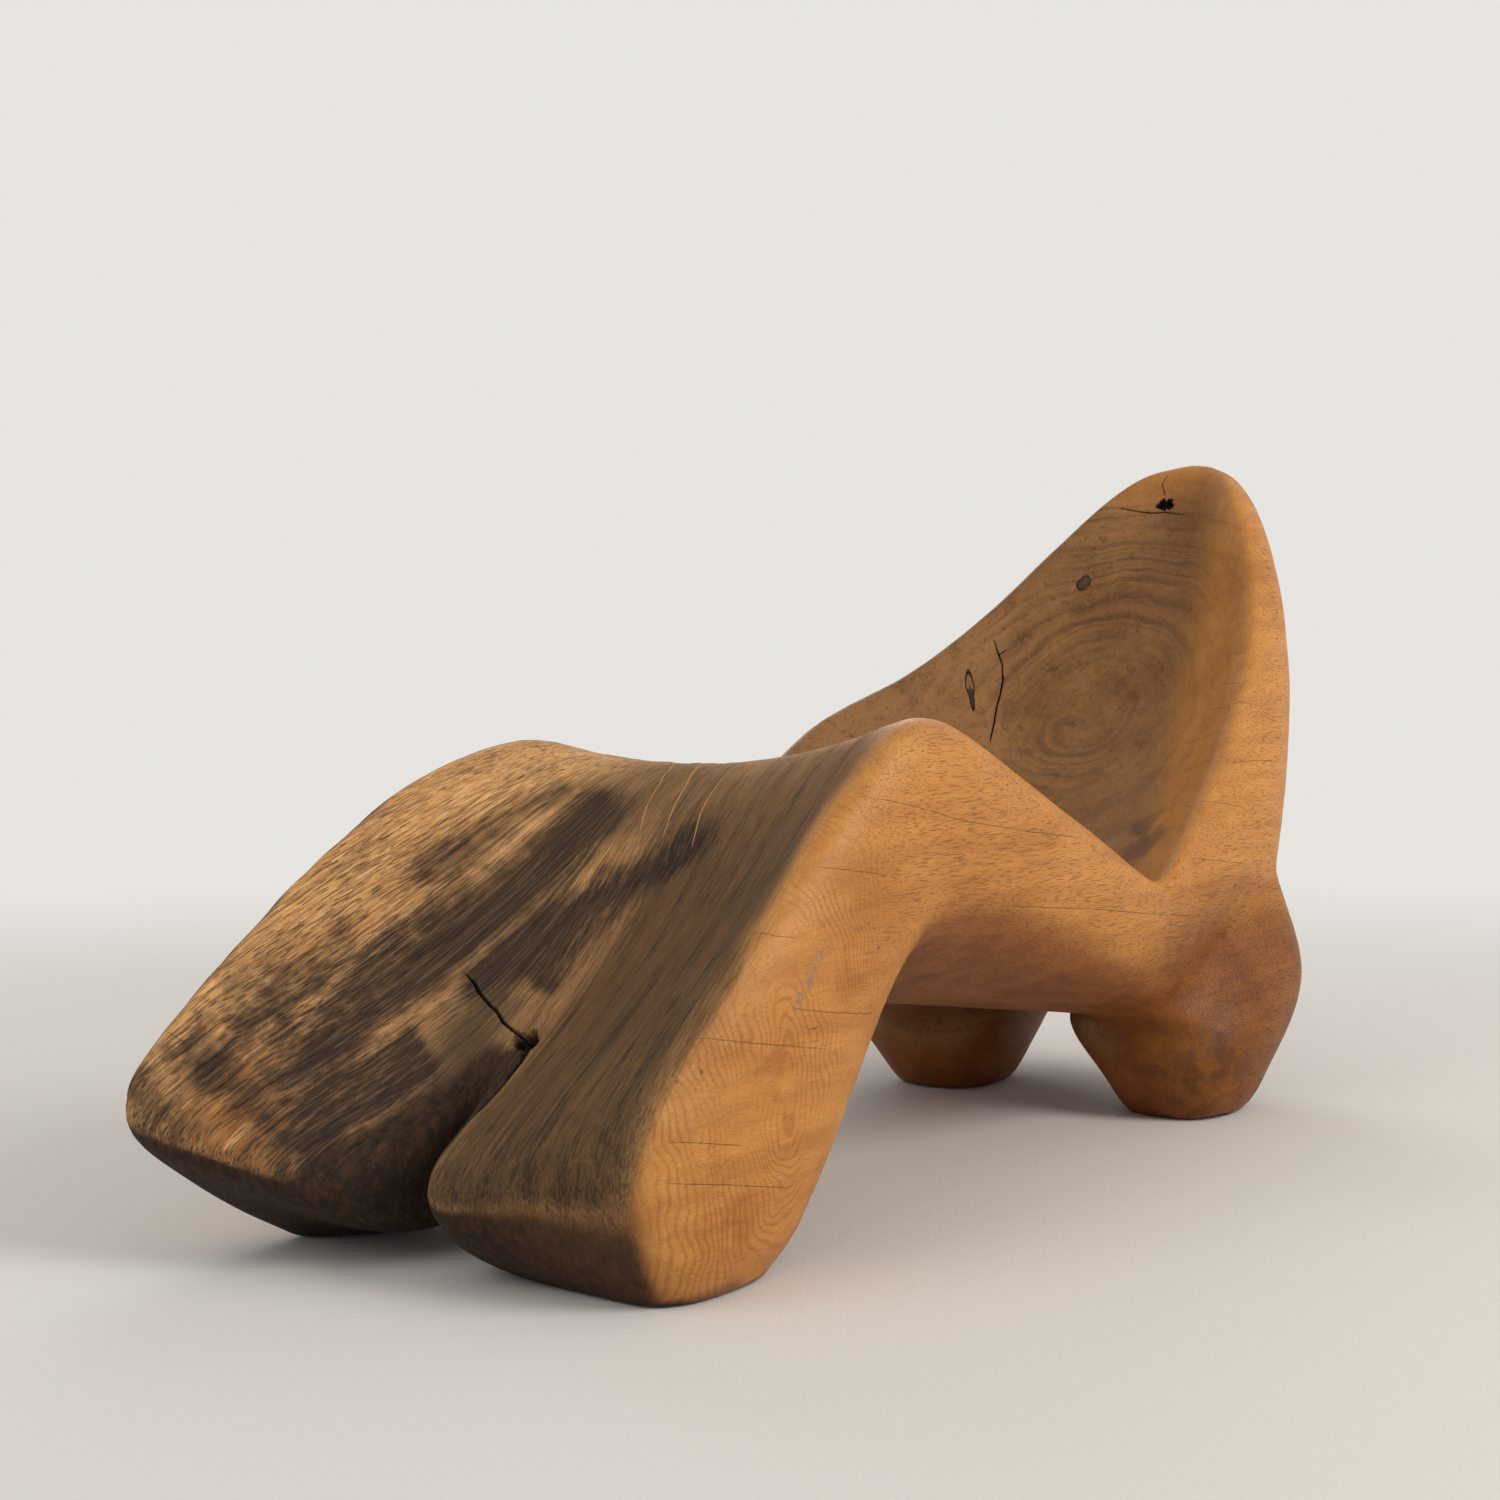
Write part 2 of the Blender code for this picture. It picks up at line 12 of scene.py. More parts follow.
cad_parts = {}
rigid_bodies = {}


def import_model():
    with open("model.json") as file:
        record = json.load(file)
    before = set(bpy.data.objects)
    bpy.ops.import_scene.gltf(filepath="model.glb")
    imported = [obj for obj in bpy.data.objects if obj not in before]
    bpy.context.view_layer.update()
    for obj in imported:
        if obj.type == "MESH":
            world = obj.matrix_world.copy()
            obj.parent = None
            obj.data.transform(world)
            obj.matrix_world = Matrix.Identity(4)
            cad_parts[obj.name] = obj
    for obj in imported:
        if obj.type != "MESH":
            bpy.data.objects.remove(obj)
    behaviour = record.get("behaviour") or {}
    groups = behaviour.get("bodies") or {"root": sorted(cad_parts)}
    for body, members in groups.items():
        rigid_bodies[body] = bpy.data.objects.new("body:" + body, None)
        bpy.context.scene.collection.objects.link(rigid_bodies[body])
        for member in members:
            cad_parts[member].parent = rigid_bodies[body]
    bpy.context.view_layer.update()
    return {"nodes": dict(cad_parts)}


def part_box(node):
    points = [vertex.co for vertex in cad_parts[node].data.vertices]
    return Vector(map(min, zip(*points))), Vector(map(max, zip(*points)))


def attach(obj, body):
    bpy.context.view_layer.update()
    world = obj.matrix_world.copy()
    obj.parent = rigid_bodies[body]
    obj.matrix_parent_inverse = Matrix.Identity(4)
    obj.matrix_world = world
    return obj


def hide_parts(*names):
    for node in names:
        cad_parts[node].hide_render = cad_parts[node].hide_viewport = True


for leftover in list(bpy.data.objects):
    bpy.data.objects.remove(leftover)
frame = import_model()

# Log frame, in metres: x along the log from the line of the front feet, y across it, z up from the floor
LOG_ORIGIN = np.array((-0.7517, -0.0108, 0.0))

# Mesh of the trunk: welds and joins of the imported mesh, levels of rounding, and how sockets are closed
WELD = 1e-5
SOLE_WELD = 0.009
SOLE_HEIGHT = 0.012
SOLE_FACING = -0.9
JOIN_TURN = math.radians(40)
JOIN_SKEW = math.radians(60)
BASE_LEVEL = 1
SURFACE_LEVEL = 3
SOCKET_REACH = 1.6
SOCKET_STEPS = 400
FRESH_STEPS = 2

# Wanted edge lengths on the weathered top, at fine checks and at open cracks, and how they are reached
FIBRE_EDGE = 0.0070
CHECK_EDGE = 0.0035
CRACK_EDGE = 0.0012
OPEN_DEPTH = 0.004
DETAIL_REACH = 0.003
FACE_REACH = 0.6
EDGE_SLACK = 1.3
REFINE_STEPS = 5

# Lines on the surface: spacing of their points, reach of their fields, narrowest end, softness of the groove
PATH_STEP = 0.004
LINE_REACH = 0.06
LINE_HEAD = (0.0, 0.15)
LINE_TAIL = (1.0, 0.85)
END_WIDTH = 0.25
GROOVE = (0.0, 1.25)
FAR_AWAY = 99.0

# Upper side of the legrest lies above a line that starts level at the toe and climbs with the slope
LEGREST_FLOOR = 0.06
LEGREST_CLIMB = 0.95
LEGREST_FOOT = 0.02
LEGREST_TOE = -0.12
LEGREST_HEAD = 0.40
LEGREST_NEAR = -0.25

# Pith of the log, as a side and a height, and the spacing of its growth rings
PITH_SIDE = 0.027
PITH_HEIGHT = 0.520
RING_SPACING = 0.0170

# Knots and bark as in the solids: place on the back, half sizes, depth, and sink below the surface
Knot = namedtuple("Knot", "side height half_length half_width depth sink")
BACK_KNOT = Knot(0.109, 0.735, 0.0150, 0.0115, 0.0300, 0.0005)
CROWN_KNOT = Knot(0.020, 0.861, 0.0130, 0.0095, 0.0200, 0.0120)
BARK_POCKET = Knot(0.204, 0.565, 0.0350, 0.0065, 0.0150, 0.0015)
KNOT_LEAN = math.radians(128)
KNOT_NARROWING = 0.42
KNOT_FIELD = 0.03

# Sockets in the trunk's mesh: depth, and the dish around the dead knot
KNOT_SOCKET = 0.011
KNOT_DISH = 0.0006
CROWN_SOCKET = 0.020
BARK_SOCKET = 0.008

# Plugs that sit in them: rings of the top, sides, rings of the wall, taper
PLUG_RINGS = 14
PLUG_SIDES = 56
PLUG_WALL = 4
PLUG_TAPER = 0.15

# Open cracks in the log frame: points, half width at the mouth, depth
FOOT_CRACK = ([(0.089, 0.101, 0.268), (0.089, 0.089, 0.261), (0.086, 0.080, 0.252), (0.085, 0.062, 0.238),
               (0.085, 0.052, 0.232), (0.082, 0.041, 0.223), (0.083, 0.025, 0.214), (0.076, -0.002, 0.212)],
              0.0017, 0.016)
WING_CRACK = ([(1.346, 0.199, 0.643), (1.343, 0.192, 0.628), (1.338, 0.180, 0.606), (1.326, 0.172, 0.581),
               (1.311, 0.168, 0.559), (1.297, 0.166, 0.541), (1.277, 0.159, 0.517), (1.250, 0.151, 0.487)],
              0.0013, 0.009)
WING_FORK = ([(1.338, 0.180, 0.606), (1.341, 0.188, 0.620), (1.352, 0.181, 0.628)], 0.0008, 0.005)
CROWN_CRACK = ([(1.545, 0.085, 0.857), (1.556, 0.062, 0.852), (1.564, 0.040, 0.848), (1.571, 0.017, 0.849),
                (1.571, -0.014, 0.843)], 0.0010, 0.005)
CROWN_SPLIT = ([(1.585, 0.024, 0.878), (1.594, 0.033, 0.897), (1.608, 0.030, 0.914)], 0.0007, 0.005)
# The slit at the top of the cleft is cut and painted black as painted shade of the cleft's deep far wall
CLEFT_SHADE_SLIT = ([(0.074, -0.004, 0.212), (0.047, -0.014, 0.193), (0.018, -0.016, 0.175),
               (-0.019, -0.011, 0.148)], 0.0050, 0.018)
CRACKS = (FOOT_CRACK, WING_CRACK, WING_FORK, CROWN_CRACK, CROWN_SPLIT, CLEFT_SHADE_SLIT)

# Cleft between the feet, whose far wall is darkened as painted shade: side of that wall, and how it flares
CLEFT_WALL = 0.041
CLEFT_FLARE = 0.33

# Rotted pocket at the top of the cleft: spot, radius, depth, and its squeeze along each axis
POCKET = (0.072, 0.002, 0.209)
POCKET_RADIUS = 0.017
POCKET_DEPTH = 0.020
POCKET_SQUEEZE = (1.0, 0.75, 1.0)

# Fine drying checks in the log frame
CHECK_WIDTH = 0.0006
CHECK_DEPTH = 0.0008
CHECKS = (
    [(0.262, -0.262, 0.455), (0.318, -0.286, 0.446), (0.419, -0.295, 0.424), (0.570, -0.295, 0.404),
     (0.720, -0.285, 0.388)],
    [(0.536, -0.276, 0.324), (0.749, -0.289, 0.303), (0.920, -0.286, 0.282), (1.087, -0.283, 0.266)],
    [(0.201, -0.263, 0.387), (0.236, -0.280, 0.383), (0.291, -0.291, 0.374)],
    [(0.126, -0.242, 0.328), (0.137, -0.261, 0.326), (0.158, -0.271, 0.323)],
    [(0.139, -0.279, 0.259), (0.192, -0.286, 0.249), (0.271, -0.283, 0.238)],
    [(0.030, -0.245, 0.241), (0.094, -0.275, 0.231), (0.185, -0.286, 0.215)],
    [(-0.019, -0.256, 0.157), (0.012, -0.268, 0.152), (0.063, -0.278, 0.142)],
    [(-0.022, -0.259, 0.121), (0.046, -0.276, 0.109), (0.140, -0.276, 0.089)],
    [(1.160, -0.201, 0.407), (1.114, -0.238, 0.407), (1.123, -0.264, 0.414), (1.198, -0.285, 0.401)],
    [(1.249, -0.151, 0.448), (1.216, -0.205, 0.461), (1.192, -0.259, 0.464), (1.328, -0.277, 0.464)],
    [(1.291, -0.145, 0.488), (1.271, -0.186, 0.498), (1.231, -0.238, 0.506)],
    [(1.317, -0.170, 0.537), (1.272, -0.223, 0.540), (1.313, -0.256, 0.542)],
    [(1.333, -0.184, 0.573), (1.302, -0.231, 0.571)],
    [(1.362, -0.189, 0.617), (1.347, -0.221, 0.616)],
    [(1.034, -0.275, 0.344), (1.156, -0.288, 0.332)],
    [(1.280, 0.184, 0.540), (1.272, 0.172, 0.524)],
    [(1.238, 0.271, 0.591), (1.234, 0.254, 0.568)],
    [(1.081, 0.333, 0.522), (1.083, 0.317, 0.510), (1.088, 0.299, 0.495)],
    [(-0.169, 0.225, 0.161), (-0.143, 0.206, 0.171), (-0.114, 0.189, 0.181), (-0.084, 0.171, 0.190)],
    [(-0.150, 0.281, 0.221), (-0.147, 0.262, 0.213), (-0.133, 0.249, 0.216)],
    [(0.440, 0.380, 0.410), (0.620, 0.390, 0.385), (0.820, 0.390, 0.370)],
    [(0.020, 0.360, 0.200), (0.090, 0.370, 0.192), (0.170, 0.370, 0.180)],
    [(1.740, 0.050, 0.760), (1.650, 0.062, 0.620), (1.540, 0.055, 0.480)],
    [(1.640, -0.100, 0.620), (1.550, -0.090, 0.500)],
    [(1.320, 0.380, 0.400), (1.200, 0.390, 0.370), (1.080, 0.390, 0.360)],
)

# Pale scratches over the top of the legrest
SCRATCH_WIDTH = 0.0011
SCRATCHES = (
    [(0.270, 0.017, 0.409), (0.295, 0.027, 0.435), (0.324, 0.033, 0.458), (0.376, 0.053, 0.477)],
    [(0.269, -0.015, 0.402), (0.298, -0.005, 0.433), (0.328, 0.000, 0.458), (0.375, 0.013, 0.477)],
    [(0.265, -0.056, 0.396), (0.297, -0.045, 0.430), (0.327, -0.043, 0.456), (0.359, -0.042, 0.475)],
)

# Near rim of the back: where its crest starts, its side there, its lean along the log, its fore end
RIM_START = 1.137
RIM_SIDE = -0.215
RIM_LEAN = 0.2
RIM_FORE = -0.15

# Grey scuffs on the near side: points, half width
SCUFFS = (
    ([(0.148, -0.280, 0.262), (0.169, -0.281, 0.287), (0.191, -0.282, 0.312)], 0.009),
)

# Dark weather stains down the legrest, in plan: points, half width, strength
STAINS = (
    ([(0.330, 0.076), (0.259, 0.085), (0.206, 0.093), (0.156, 0.113), (0.106, 0.131), (0.057, 0.148),
      (0.007, 0.162), (-0.049, 0.156), (-0.094, 0.156), (-0.140, 0.130)], 0.034, 0.95),
    ([(0.290, -0.090), (0.229, -0.010), (0.178, 0.051), (0.136, 0.068), (0.099, 0.083), (0.055, 0.104)],
     0.026, 0.95),
    ([(0.040, 0.190), (-0.055, 0.218), (-0.120, 0.232)], 0.024, 0.60),
    ([(0.300, 0.120), (0.235, 0.150), (0.160, 0.178), (0.080, 0.200)], 0.020, 0.55),
    ([(0.215, 0.010), (0.150, 0.030), (0.110, 0.030)], 0.028, 0.80),
    ([(0.030, 0.085), (-0.030, 0.100), (-0.090, 0.110), (-0.140, 0.120)], 0.032, 0.90),
    ([(-0.150, 0.270), (-0.130, 0.180), (-0.120, 0.100)], 0.022, 0.60),
)
PLAN_STRETCH = 1.3
STROKE_HEAD = (0.0, 0.12)
STROKE_TAIL = (1.0, 0.85)
STROKE_FADE = (0.0, 1.90)

# Ridges: steps that soften the surface to find them, steps that blur them, the turn counted as full
BEND_STEPS = 12
BEND_BLUR = 4
FULL_BEND = 0.006
RIDGE_BEND = (0.30, 1.00)
CREASE_BEND = (0.25, 1.00)

# Sharpened ridges of the near side and the deeper crease before the haunch
RIDGE_LIFT = 0.0030
RIDGE_SIDE = (-0.10, -0.17)
RIDGE_END = (1.50, 1.40)
CREASE_DEPTH = 0.005
CREASE_START = (0.85, 1.00)
CREASE_TOP = (0.40, 0.30)

# Fibres of the legrest run down its slope and fan out towards the far toe
SLOPE = 0.73
SLOPE_NORMAL = (-0.62, 0.0, 0.78)
FIBRE_FAN = 0.28
FIBRE_SINK = 0.35
FAN_SIDE = (-0.02, 0.08)

# Noise in the relief: strength, scale per metre along each axis, seed
SWELL = ((0.0010, (9, 14, 14), 1), (0.0004, (24, 34, 34), 2))
EDGE_WANDER = ((0.045, (9, 16, 9), 3), (0.020, (20, 60, 20), 4))
FURROWS = ((1.0, (3.5, 34, 34), 6), (0.6, (7.0, 75, 75), 7))
FIBRES = ((1.0, (16, 130, 130), 8), (0.7, (30, 260, 260), 9))
POCKET_RAGGED = ((0.45, (110, 110, 110), 10),)
FURROW_DEPTH = 0.0022
FIBRE_DEPTH = 0.0008
STAIN_DEPTH = 0.0035

# Limits of the marks, each from where a mark is absent to where it is full
TOP_FACING = (0.25, 0.65)
LEGREST_END = (0.46, 0.34)
NEAR_RIDGE = (-0.262, -0.222)
UMBER_SIDE = (0.03, -0.05)
UMBER_END = (0.36, 0.22)
FAR_SIDE_SHADE_FACING = (0.00, 0.40)
FAR_SIDE_SHADE_SIDE = (0.14, 0.26)
HOLLOW_FACING = (0.05, 0.70)
HOLLOW_START = (0.34, 0.44)
HOLLOW_RIM = (0.020, 0.100)
HOLLOW_TOP = (0.94, 0.83)
UNDER_FACING = (-0.28, -0.60)
UNDER_START = (0.10, 0.20)
OUTER_FACING = (0.40, 0.75)
OUTER_SIDE = (0.19, 0.24)
FRONT_END = (0.16, 0.06)

# Soot and painted shade on the fronts of the feet: its end up the legrest, the clean outer sides, the
# cleaner near lobe, the cleft, the toe
SOOT_AND_SHADE_END = (0.18, 0.08)
CLEAN_FACING = (0.35, 0.75)
CLEAN_NEAR = (-0.19, -0.23)
CLEAN_FAR = (0.20, 0.25)
CLEAN_TIP = (-0.22, -0.12)
LOBE_CLEAN = 0.30
LOBE_SIDE = (-0.05, -0.12)
CLEFT_END = (0.080, 0.055)
CLEFT_FAR = (0.034, 0.004)
CLEFT_NEAR = (-0.024, -0.006)
TOE_SOOT_AND_SHADE = 0.4
TOE_END = (-0.085, -0.150)
TOE_TOP = (0.20, 0.10)

# Patches of the legrest in plan: spot, reach
WORN_AND_SHADED = ((0.050, 0.062), (0.090, 0.046))
RUSTY = ((-0.140, 0.175), (0.045, 0.050))


def smooth(low, high, value):
    """0 below low, 1 above high, with a soft turn between."""
    share = np.clip((value - low) / (high - low), 0.0, 1.0)
    return share * share * (3.0 - 2.0 * share)


def lattice(cell, seed):
    """A steady pseudo-random number from -1 to 1 for each whole-number cell."""
    x, y, z = cell.T
    mixed = (x * 374761393 + y * 668265263 + z * 1442695041 + seed * 974711) & 0xFFFFFFFF
    mixed = ((mixed ^ (mixed >> 13)) * 1274126177) & 0xFFFFFFFF
    return ((mixed ^ (mixed >> 16)) & 0xFFFF) / 32767.5 - 1.0


def cloud(points, scale, seed):
    """Smooth noise from -1 to 1, with its own scale along each axis."""
    spot = points * np.array(scale)
    cell = np.floor(spot).astype(np.int64)
    share = spot - cell
    share = share * share * (3.0 - 2.0 * share)
    total = np.zeros(len(points))
    for corner in range(8):
        step = np.array(((corner >> 2) & 1, (corner >> 1) & 1, corner & 1))
        weight = np.where(step, share, 1.0 - share).prod(axis=1)
        total += weight * lattice(cell + step, seed)
    return total


def clouds(points, rows):
    """Sum of noises, each with its strength, scale and seed."""
    return sum(strength * cloud(points, scale, seed) for strength, scale, seed in rows)


def path_distance(points, path):
    """Distance from each point to a line through the path's points, and how far along it is, 0 to 1."""
    path = np.array(path, float)
    lengths = np.linalg.norm(np.diff(path, axis=0), axis=1)
    start = np.concatenate(((0.0,), np.cumsum(lengths)))
    best = np.full(len(points), np.inf)
    along = np.zeros(len(points))
    for k, length in enumerate(lengths):
        run = path[k + 1] - path[k]
        share = np.clip((points - path[k]) @ run / length ** 2, 0.0, 1.0)
        gap = np.linalg.norm(points - path[k] - share[:, None] * run, axis=1)
        nearer = gap < best
        best[nearer] = gap[nearer]
        along[nearer] = ((start[k] + share * length) / start[-1])[nearer]
    return best, along


def stroke(points, path, half_width):
    """1 on a stroke drawn in plan, stretched along the slope, falling to 0 at its edges."""
    plan = points[:, :2] * np.array((PLAN_STRETCH, 1.0))
    gap, along = path_distance(plan, [(x * PLAN_STRETCH, y) for x, y in path])
    taper = smooth(*STROKE_HEAD, along) * smooth(*STROKE_TAIL, along)
    return (1.0 - smooth(*STROKE_FADE, gap / half_width)) * taper


def patch(x, y, spot, reach):
    """1 at a spot in plan, fading with distance."""
    return np.exp(-((x - spot[0]) / reach[0]) ** 2 - ((y - spot[1]) / reach[1]) ** 2)


def vertex_vectors(mesh, name):
    values = np.empty(len(mesh.vertices) * 3)
    mesh.vertices.foreach_get(name, values)
    return values.reshape(-1, 3)


def set_coordinates(mesh, co):
    mesh.vertices.foreach_set("co", co.ravel())
    mesh.update()


def edge_pairs(mesh):
    values = np.empty(len(mesh.edges) * 2, np.int32)
    mesh.edges.foreach_get("vertices", values)
    return values.reshape(-1, 2)


def neighbour_mean(values, pairs):
    """Mean of each vertex's neighbours, for one or more columns of values."""
    count = len(values)
    a, b = pairs.T
    degree = np.maximum(np.bincount(pairs.ravel(), minlength=count), 1)
    columns = values.reshape(count, -1)
    sums = [np.bincount(a, column[b], count) + np.bincount(b, column[a], count) for column in columns.T]
    return (np.stack(sums, axis=1) / degree[:, None]).reshape(values.shape)


def relaxed(co, pairs, steps, free=None):
    """Vertices moved halfway to their neighbours' mean, a number of times."""
    for _ in range(steps):
        step = 0.5 * (neighbour_mean(co, pairs) - co)
        co = co + (step if free is None else step * free[:, None])
    return co


def smooth_trunk():
    """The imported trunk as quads, with sharp soles and rounding by subdivision, in an object of its own."""
    bm = bmesh.new()
    bm.from_mesh(frame["nodes"]["carved_trunk"].data)
    bmesh.ops.remove_doubles(bm, verts=bm.verts, dist=WELD)
    low = [v for v in bm.verts if v.co.z < SOLE_HEIGHT]
    bmesh.ops.remove_doubles(bm, verts=low, dist=SOLE_WELD)
    bm.normal_update()
    crease = bm.edges.layers.float.new("crease_edge")
    for edge in bm.edges:
        flat = [face.normal.z < SOLE_FACING for face in edge.link_faces]
        if any(flat) and not all(flat) and max(v.co.z for v in edge.verts) < SOLE_HEIGHT:
            edge[crease] = 1.0
    bmesh.ops.join_triangles(bm, faces=bm.faces, angle_face_threshold=JOIN_TURN,
                             angle_shape_threshold=JOIN_SKEW)
    mesh = bpy.data.meshes.new("rounded")
    bm.to_mesh(mesh)
    bm.free()
    rounded = bpy.data.objects.new("rounded", mesh)
    bpy.context.scene.collection.objects.link(rounded)
    rounded.modifiers.new("rounding", "SUBSURF")
    return rounded


def rounded_mesh(rounded, level):
    """The rounded trunk's mesh at one level of subdivision."""
    rounded.modifiers["rounding"].levels = level
    return bpy.data.meshes.new_from_object(rounded.evaluated_get(bpy.context.evaluated_depsgraph_get()))


def tree_of(mesh):
    return BVHTree.FromPolygons([v.co for v in mesh.vertices], [tuple(p.vertices) for p in mesh.polygons])


def on_surface(co, tree, free):
    """Free vertices moved to the nearest point of the rounded trunk."""
    for k in np.nonzero(free)[0]:
        co[k] = tree.find_nearest(co[k])[0]
    return co


def outside_sockets(co):
    """True where a vertex is clear of the sockets cut for knots and bark."""
    clear = np.ones(len(co), bool)
    for name in ("backrest_knot", "crown_knot", "wing_bark_pocket"):
        low, high = (np.array(corner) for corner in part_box(name))
        reach = SOCKET_REACH * np.linalg.norm(high - low) / 2
        clear &= np.linalg.norm(co - (low + high) / 2, axis=1) > reach
    return clear


def add_bend(mesh):
    """Positive on ridges and negative in creases, kept on the vertices while the mesh is refined."""
    co = vertex_vectors(mesh, "co")
    pairs = edge_pairs(mesh)
    soft = relaxed(co, pairs, BEND_STEPS)
    turn = ((co - soft) * vertex_vectors(mesh, "normal")).sum(axis=1) / FULL_BEND
    for _ in range(BEND_BLUR):
        turn = 0.5 * turn + 0.5 * neighbour_mean(turn, pairs)
    layer = mesh.attributes.new("bend", "FLOAT", "POINT")
    layer.data.foreach_set("value", np.clip(turn, -1.0, 1.0).astype(np.float32))


def refine(mesh, wanted):
    """Each face with a longer edge than is wanted there is split in four."""
    bm = bmesh.new()
    bm.from_mesh(mesh)
    bm.faces.ensure_lookup_table()
    middles = np.array([f.calc_center_median() for f in bm.faces])
    lengths = np.array([max(e.calc_length() for e in f.edges) for f in bm.faces])
    chosen = np.nonzero(lengths > EDGE_SLACK * wanted(middles, lengths))[0]
    edges = {e for k in chosen for e in bm.faces[k].edges}
    bmesh.ops.subdivide_edges(bm, edges=list(edges), cuts=1, use_grid_fill=True)
    bmesh.ops.triangulate(bm, faces=[f for f in bm.faces if len(f.verts) > 4])
    bm.to_mesh(mesh)
    bm.free()


class Crack:
    """A crack, check, scratch or scuff laid on the surface, with its distance field."""

    def __init__(self, path, half_width, depth, tree):
        points = [Vector(p) + Vector(LOG_ORIGIN) for p in path]
        dense = []
        for start, end in zip(points, points[1:]):
            steps = max(1, round((end - start).length / PATH_STEP))
            dense += [start.lerp(end, k / steps) for k in range(steps)]
        found = [tree.find_nearest(p) for p in dense + [points[-1]]]
        self.path = np.array([spot for spot, *_ in found])
        self.normals = np.array([normal for _, normal, *_ in found])
        self.half_width = half_width
        self.depth = depth

    def nearby(self, points):
        """Indices of the points within reach of the crack's box."""
        low = self.path.min(axis=0) - LINE_REACH
        high = self.path.max(axis=0) + LINE_REACH
        return np.nonzero(((points > low) & (points < high)).all(axis=1))[0]

    def gap(self, points):
        """Distance from the middle of the crack."""
        gap = np.full(len(points), np.inf)
        near = self.nearby(points)
        gap[near] = path_distance(points[near], self.path)[0]
        return gap

    def across(self, points):
        """Signed distance from the middle of the crack, in its own half widths at that place."""
        result = np.full(len(points), FAR_AWAY)
        near = self.nearby(points)
        points = points[near]
        gap, along = path_distance(points, self.path)
        share = along * (len(self.path) - 1)
        k = np.clip(share.astype(int), 0, len(self.path) - 2)
        run = self.path[k + 1] - self.path[k]
        side = np.einsum("ij,ij->i", points - self.path[k], np.cross(self.normals[k], run))
        ends = np.sqrt(smooth(*LINE_HEAD, along) * smooth(*LINE_TAIL, along))
        width = self.half_width * (END_WIDTH + (1.0 - END_WIDTH) * ends)
        result[near] = np.where(side < 0, -gap, gap) / width
        return result


class Lines:
    """Everything drawn along the surface: open cracks, fine checks, pale scratches and scuffs."""

    def __init__(self, tree):
        self.cracks = [Crack(*row, tree) for row in CRACKS]
        self.checks = [Crack(path, CHECK_WIDTH, CHECK_DEPTH, tree) for path in CHECKS]
        self.scratches = [Crack(path, SCRATCH_WIDTH, 0.0, tree) for path in SCRATCHES]
        self.scuffs = [Crack(path, half_width, 0.0, tree) for path, half_width in SCUFFS]
        self.all = self.cracks + self.checks + self.scratches + self.scuffs


def nearest_across(lines, world):
    """Signed distance to the nearest of several cracks, in that crack's half widths."""
    best = np.full(len(world), FAR_AWAY)
    for line in lines:
        across = line.across(world)
        best = np.where(np.abs(across) < np.abs(best), across, best)
    return best


def legrest_top(middles):
    """Test for faces of the legrest's upper side, where the weathered fibres stand up."""
    x, y, z = (middles - LOG_ORIGIN).T
    above = z > LEGREST_FLOOR + LEGREST_CLIMB * np.maximum(x - LEGREST_FOOT, LEGREST_TOE)
    return (x < LEGREST_HEAD) & above & (y > LEGREST_NEAR)


def detail_edge(lines, seats):
    """Gives the wanted edge length: short at cracks, knots and the pocket, longer on the legrest."""
    def wanted(middles, lengths):
        size = np.where(legrest_top(middles), FIBRE_EDGE, FAR_AWAY)
        reach = DETAIL_REACH + FACE_REACH * lengths
        for line in lines.all:
            edge = CRACK_EDGE if line.depth >= OPEN_DEPTH else CHECK_EDGE
            near = line.gap(middles) < reach + line.half_width
            size = np.where(near, np.minimum(size, edge), size)
        for knot, seat in seats:
            oval, _ = knot_polar(middles, knot, seat)
            near = np.abs(oval - 1.0) < reach / knot.half_width
            size = np.where(near, np.minimum(size, CRACK_EDGE), size)
        pocket = np.linalg.norm(middles - LOG_ORIGIN - np.array(POCKET), axis=1)
        return np.where(pocket < POCKET_RADIUS + reach, np.minimum(size, CRACK_EDGE), size)
    return wanted


def knot_seat(knot, closed):
    """Frame on the closed surface of the back: Z out of the wood, X down the slope."""
    start = Vector(LOG_ORIGIN) + Vector((0.0, knot.side, knot.height))
    spot, normal, _, _ = closed.ray_cast(start, Vector((1.0, 0.0, 0.0)))
    down = Vector((0.0, 0.0, -1.0))
    slope = (down - normal * down.dot(normal)).normalized()
    return Matrix.Translation(spot) @ Matrix((slope, normal.cross(slope), normal)).transposed().to_4x4()


def knot_polar(world, knot, seat):
    """Radius of each point about a knot, in half widths of its oval, with its angle."""
    inverse = np.array(seat.inverted())
    local = world @ inverse[:3, :3].T + inverse[:3, 3]
    length = local[:, 0] / knot.half_length
    width = local[:, 1] / knot.half_width
    radius = np.where(np.abs(local[:, 2]) < KNOT_FIELD, np.hypot(length, width), FAR_AWAY)
    return radius, np.arctan2(width, length)


def knot_outline(angle):
    """A leaning oval, narrow across its lean."""
    return 1.0 - KNOT_NARROWING * np.sin(angle - KNOT_LEAN) ** 2


def crown_outline(angle):
    """Ragged outline of the crown's hole, wider across than along."""
    ragged = 0.16 * np.cos(5 * angle + 0.6) + 0.08 * np.cos(9 * angle)
    return 1.0 + 0.30 * np.cos(2 * angle - math.pi) + ragged


def bark_outline(angle):
    """A drop of bark, narrower at its lower end."""
    return 1.0 - 0.5 * np.sin(angle) ** 2 * smooth(-0.3, 0.6, np.cos(angle))


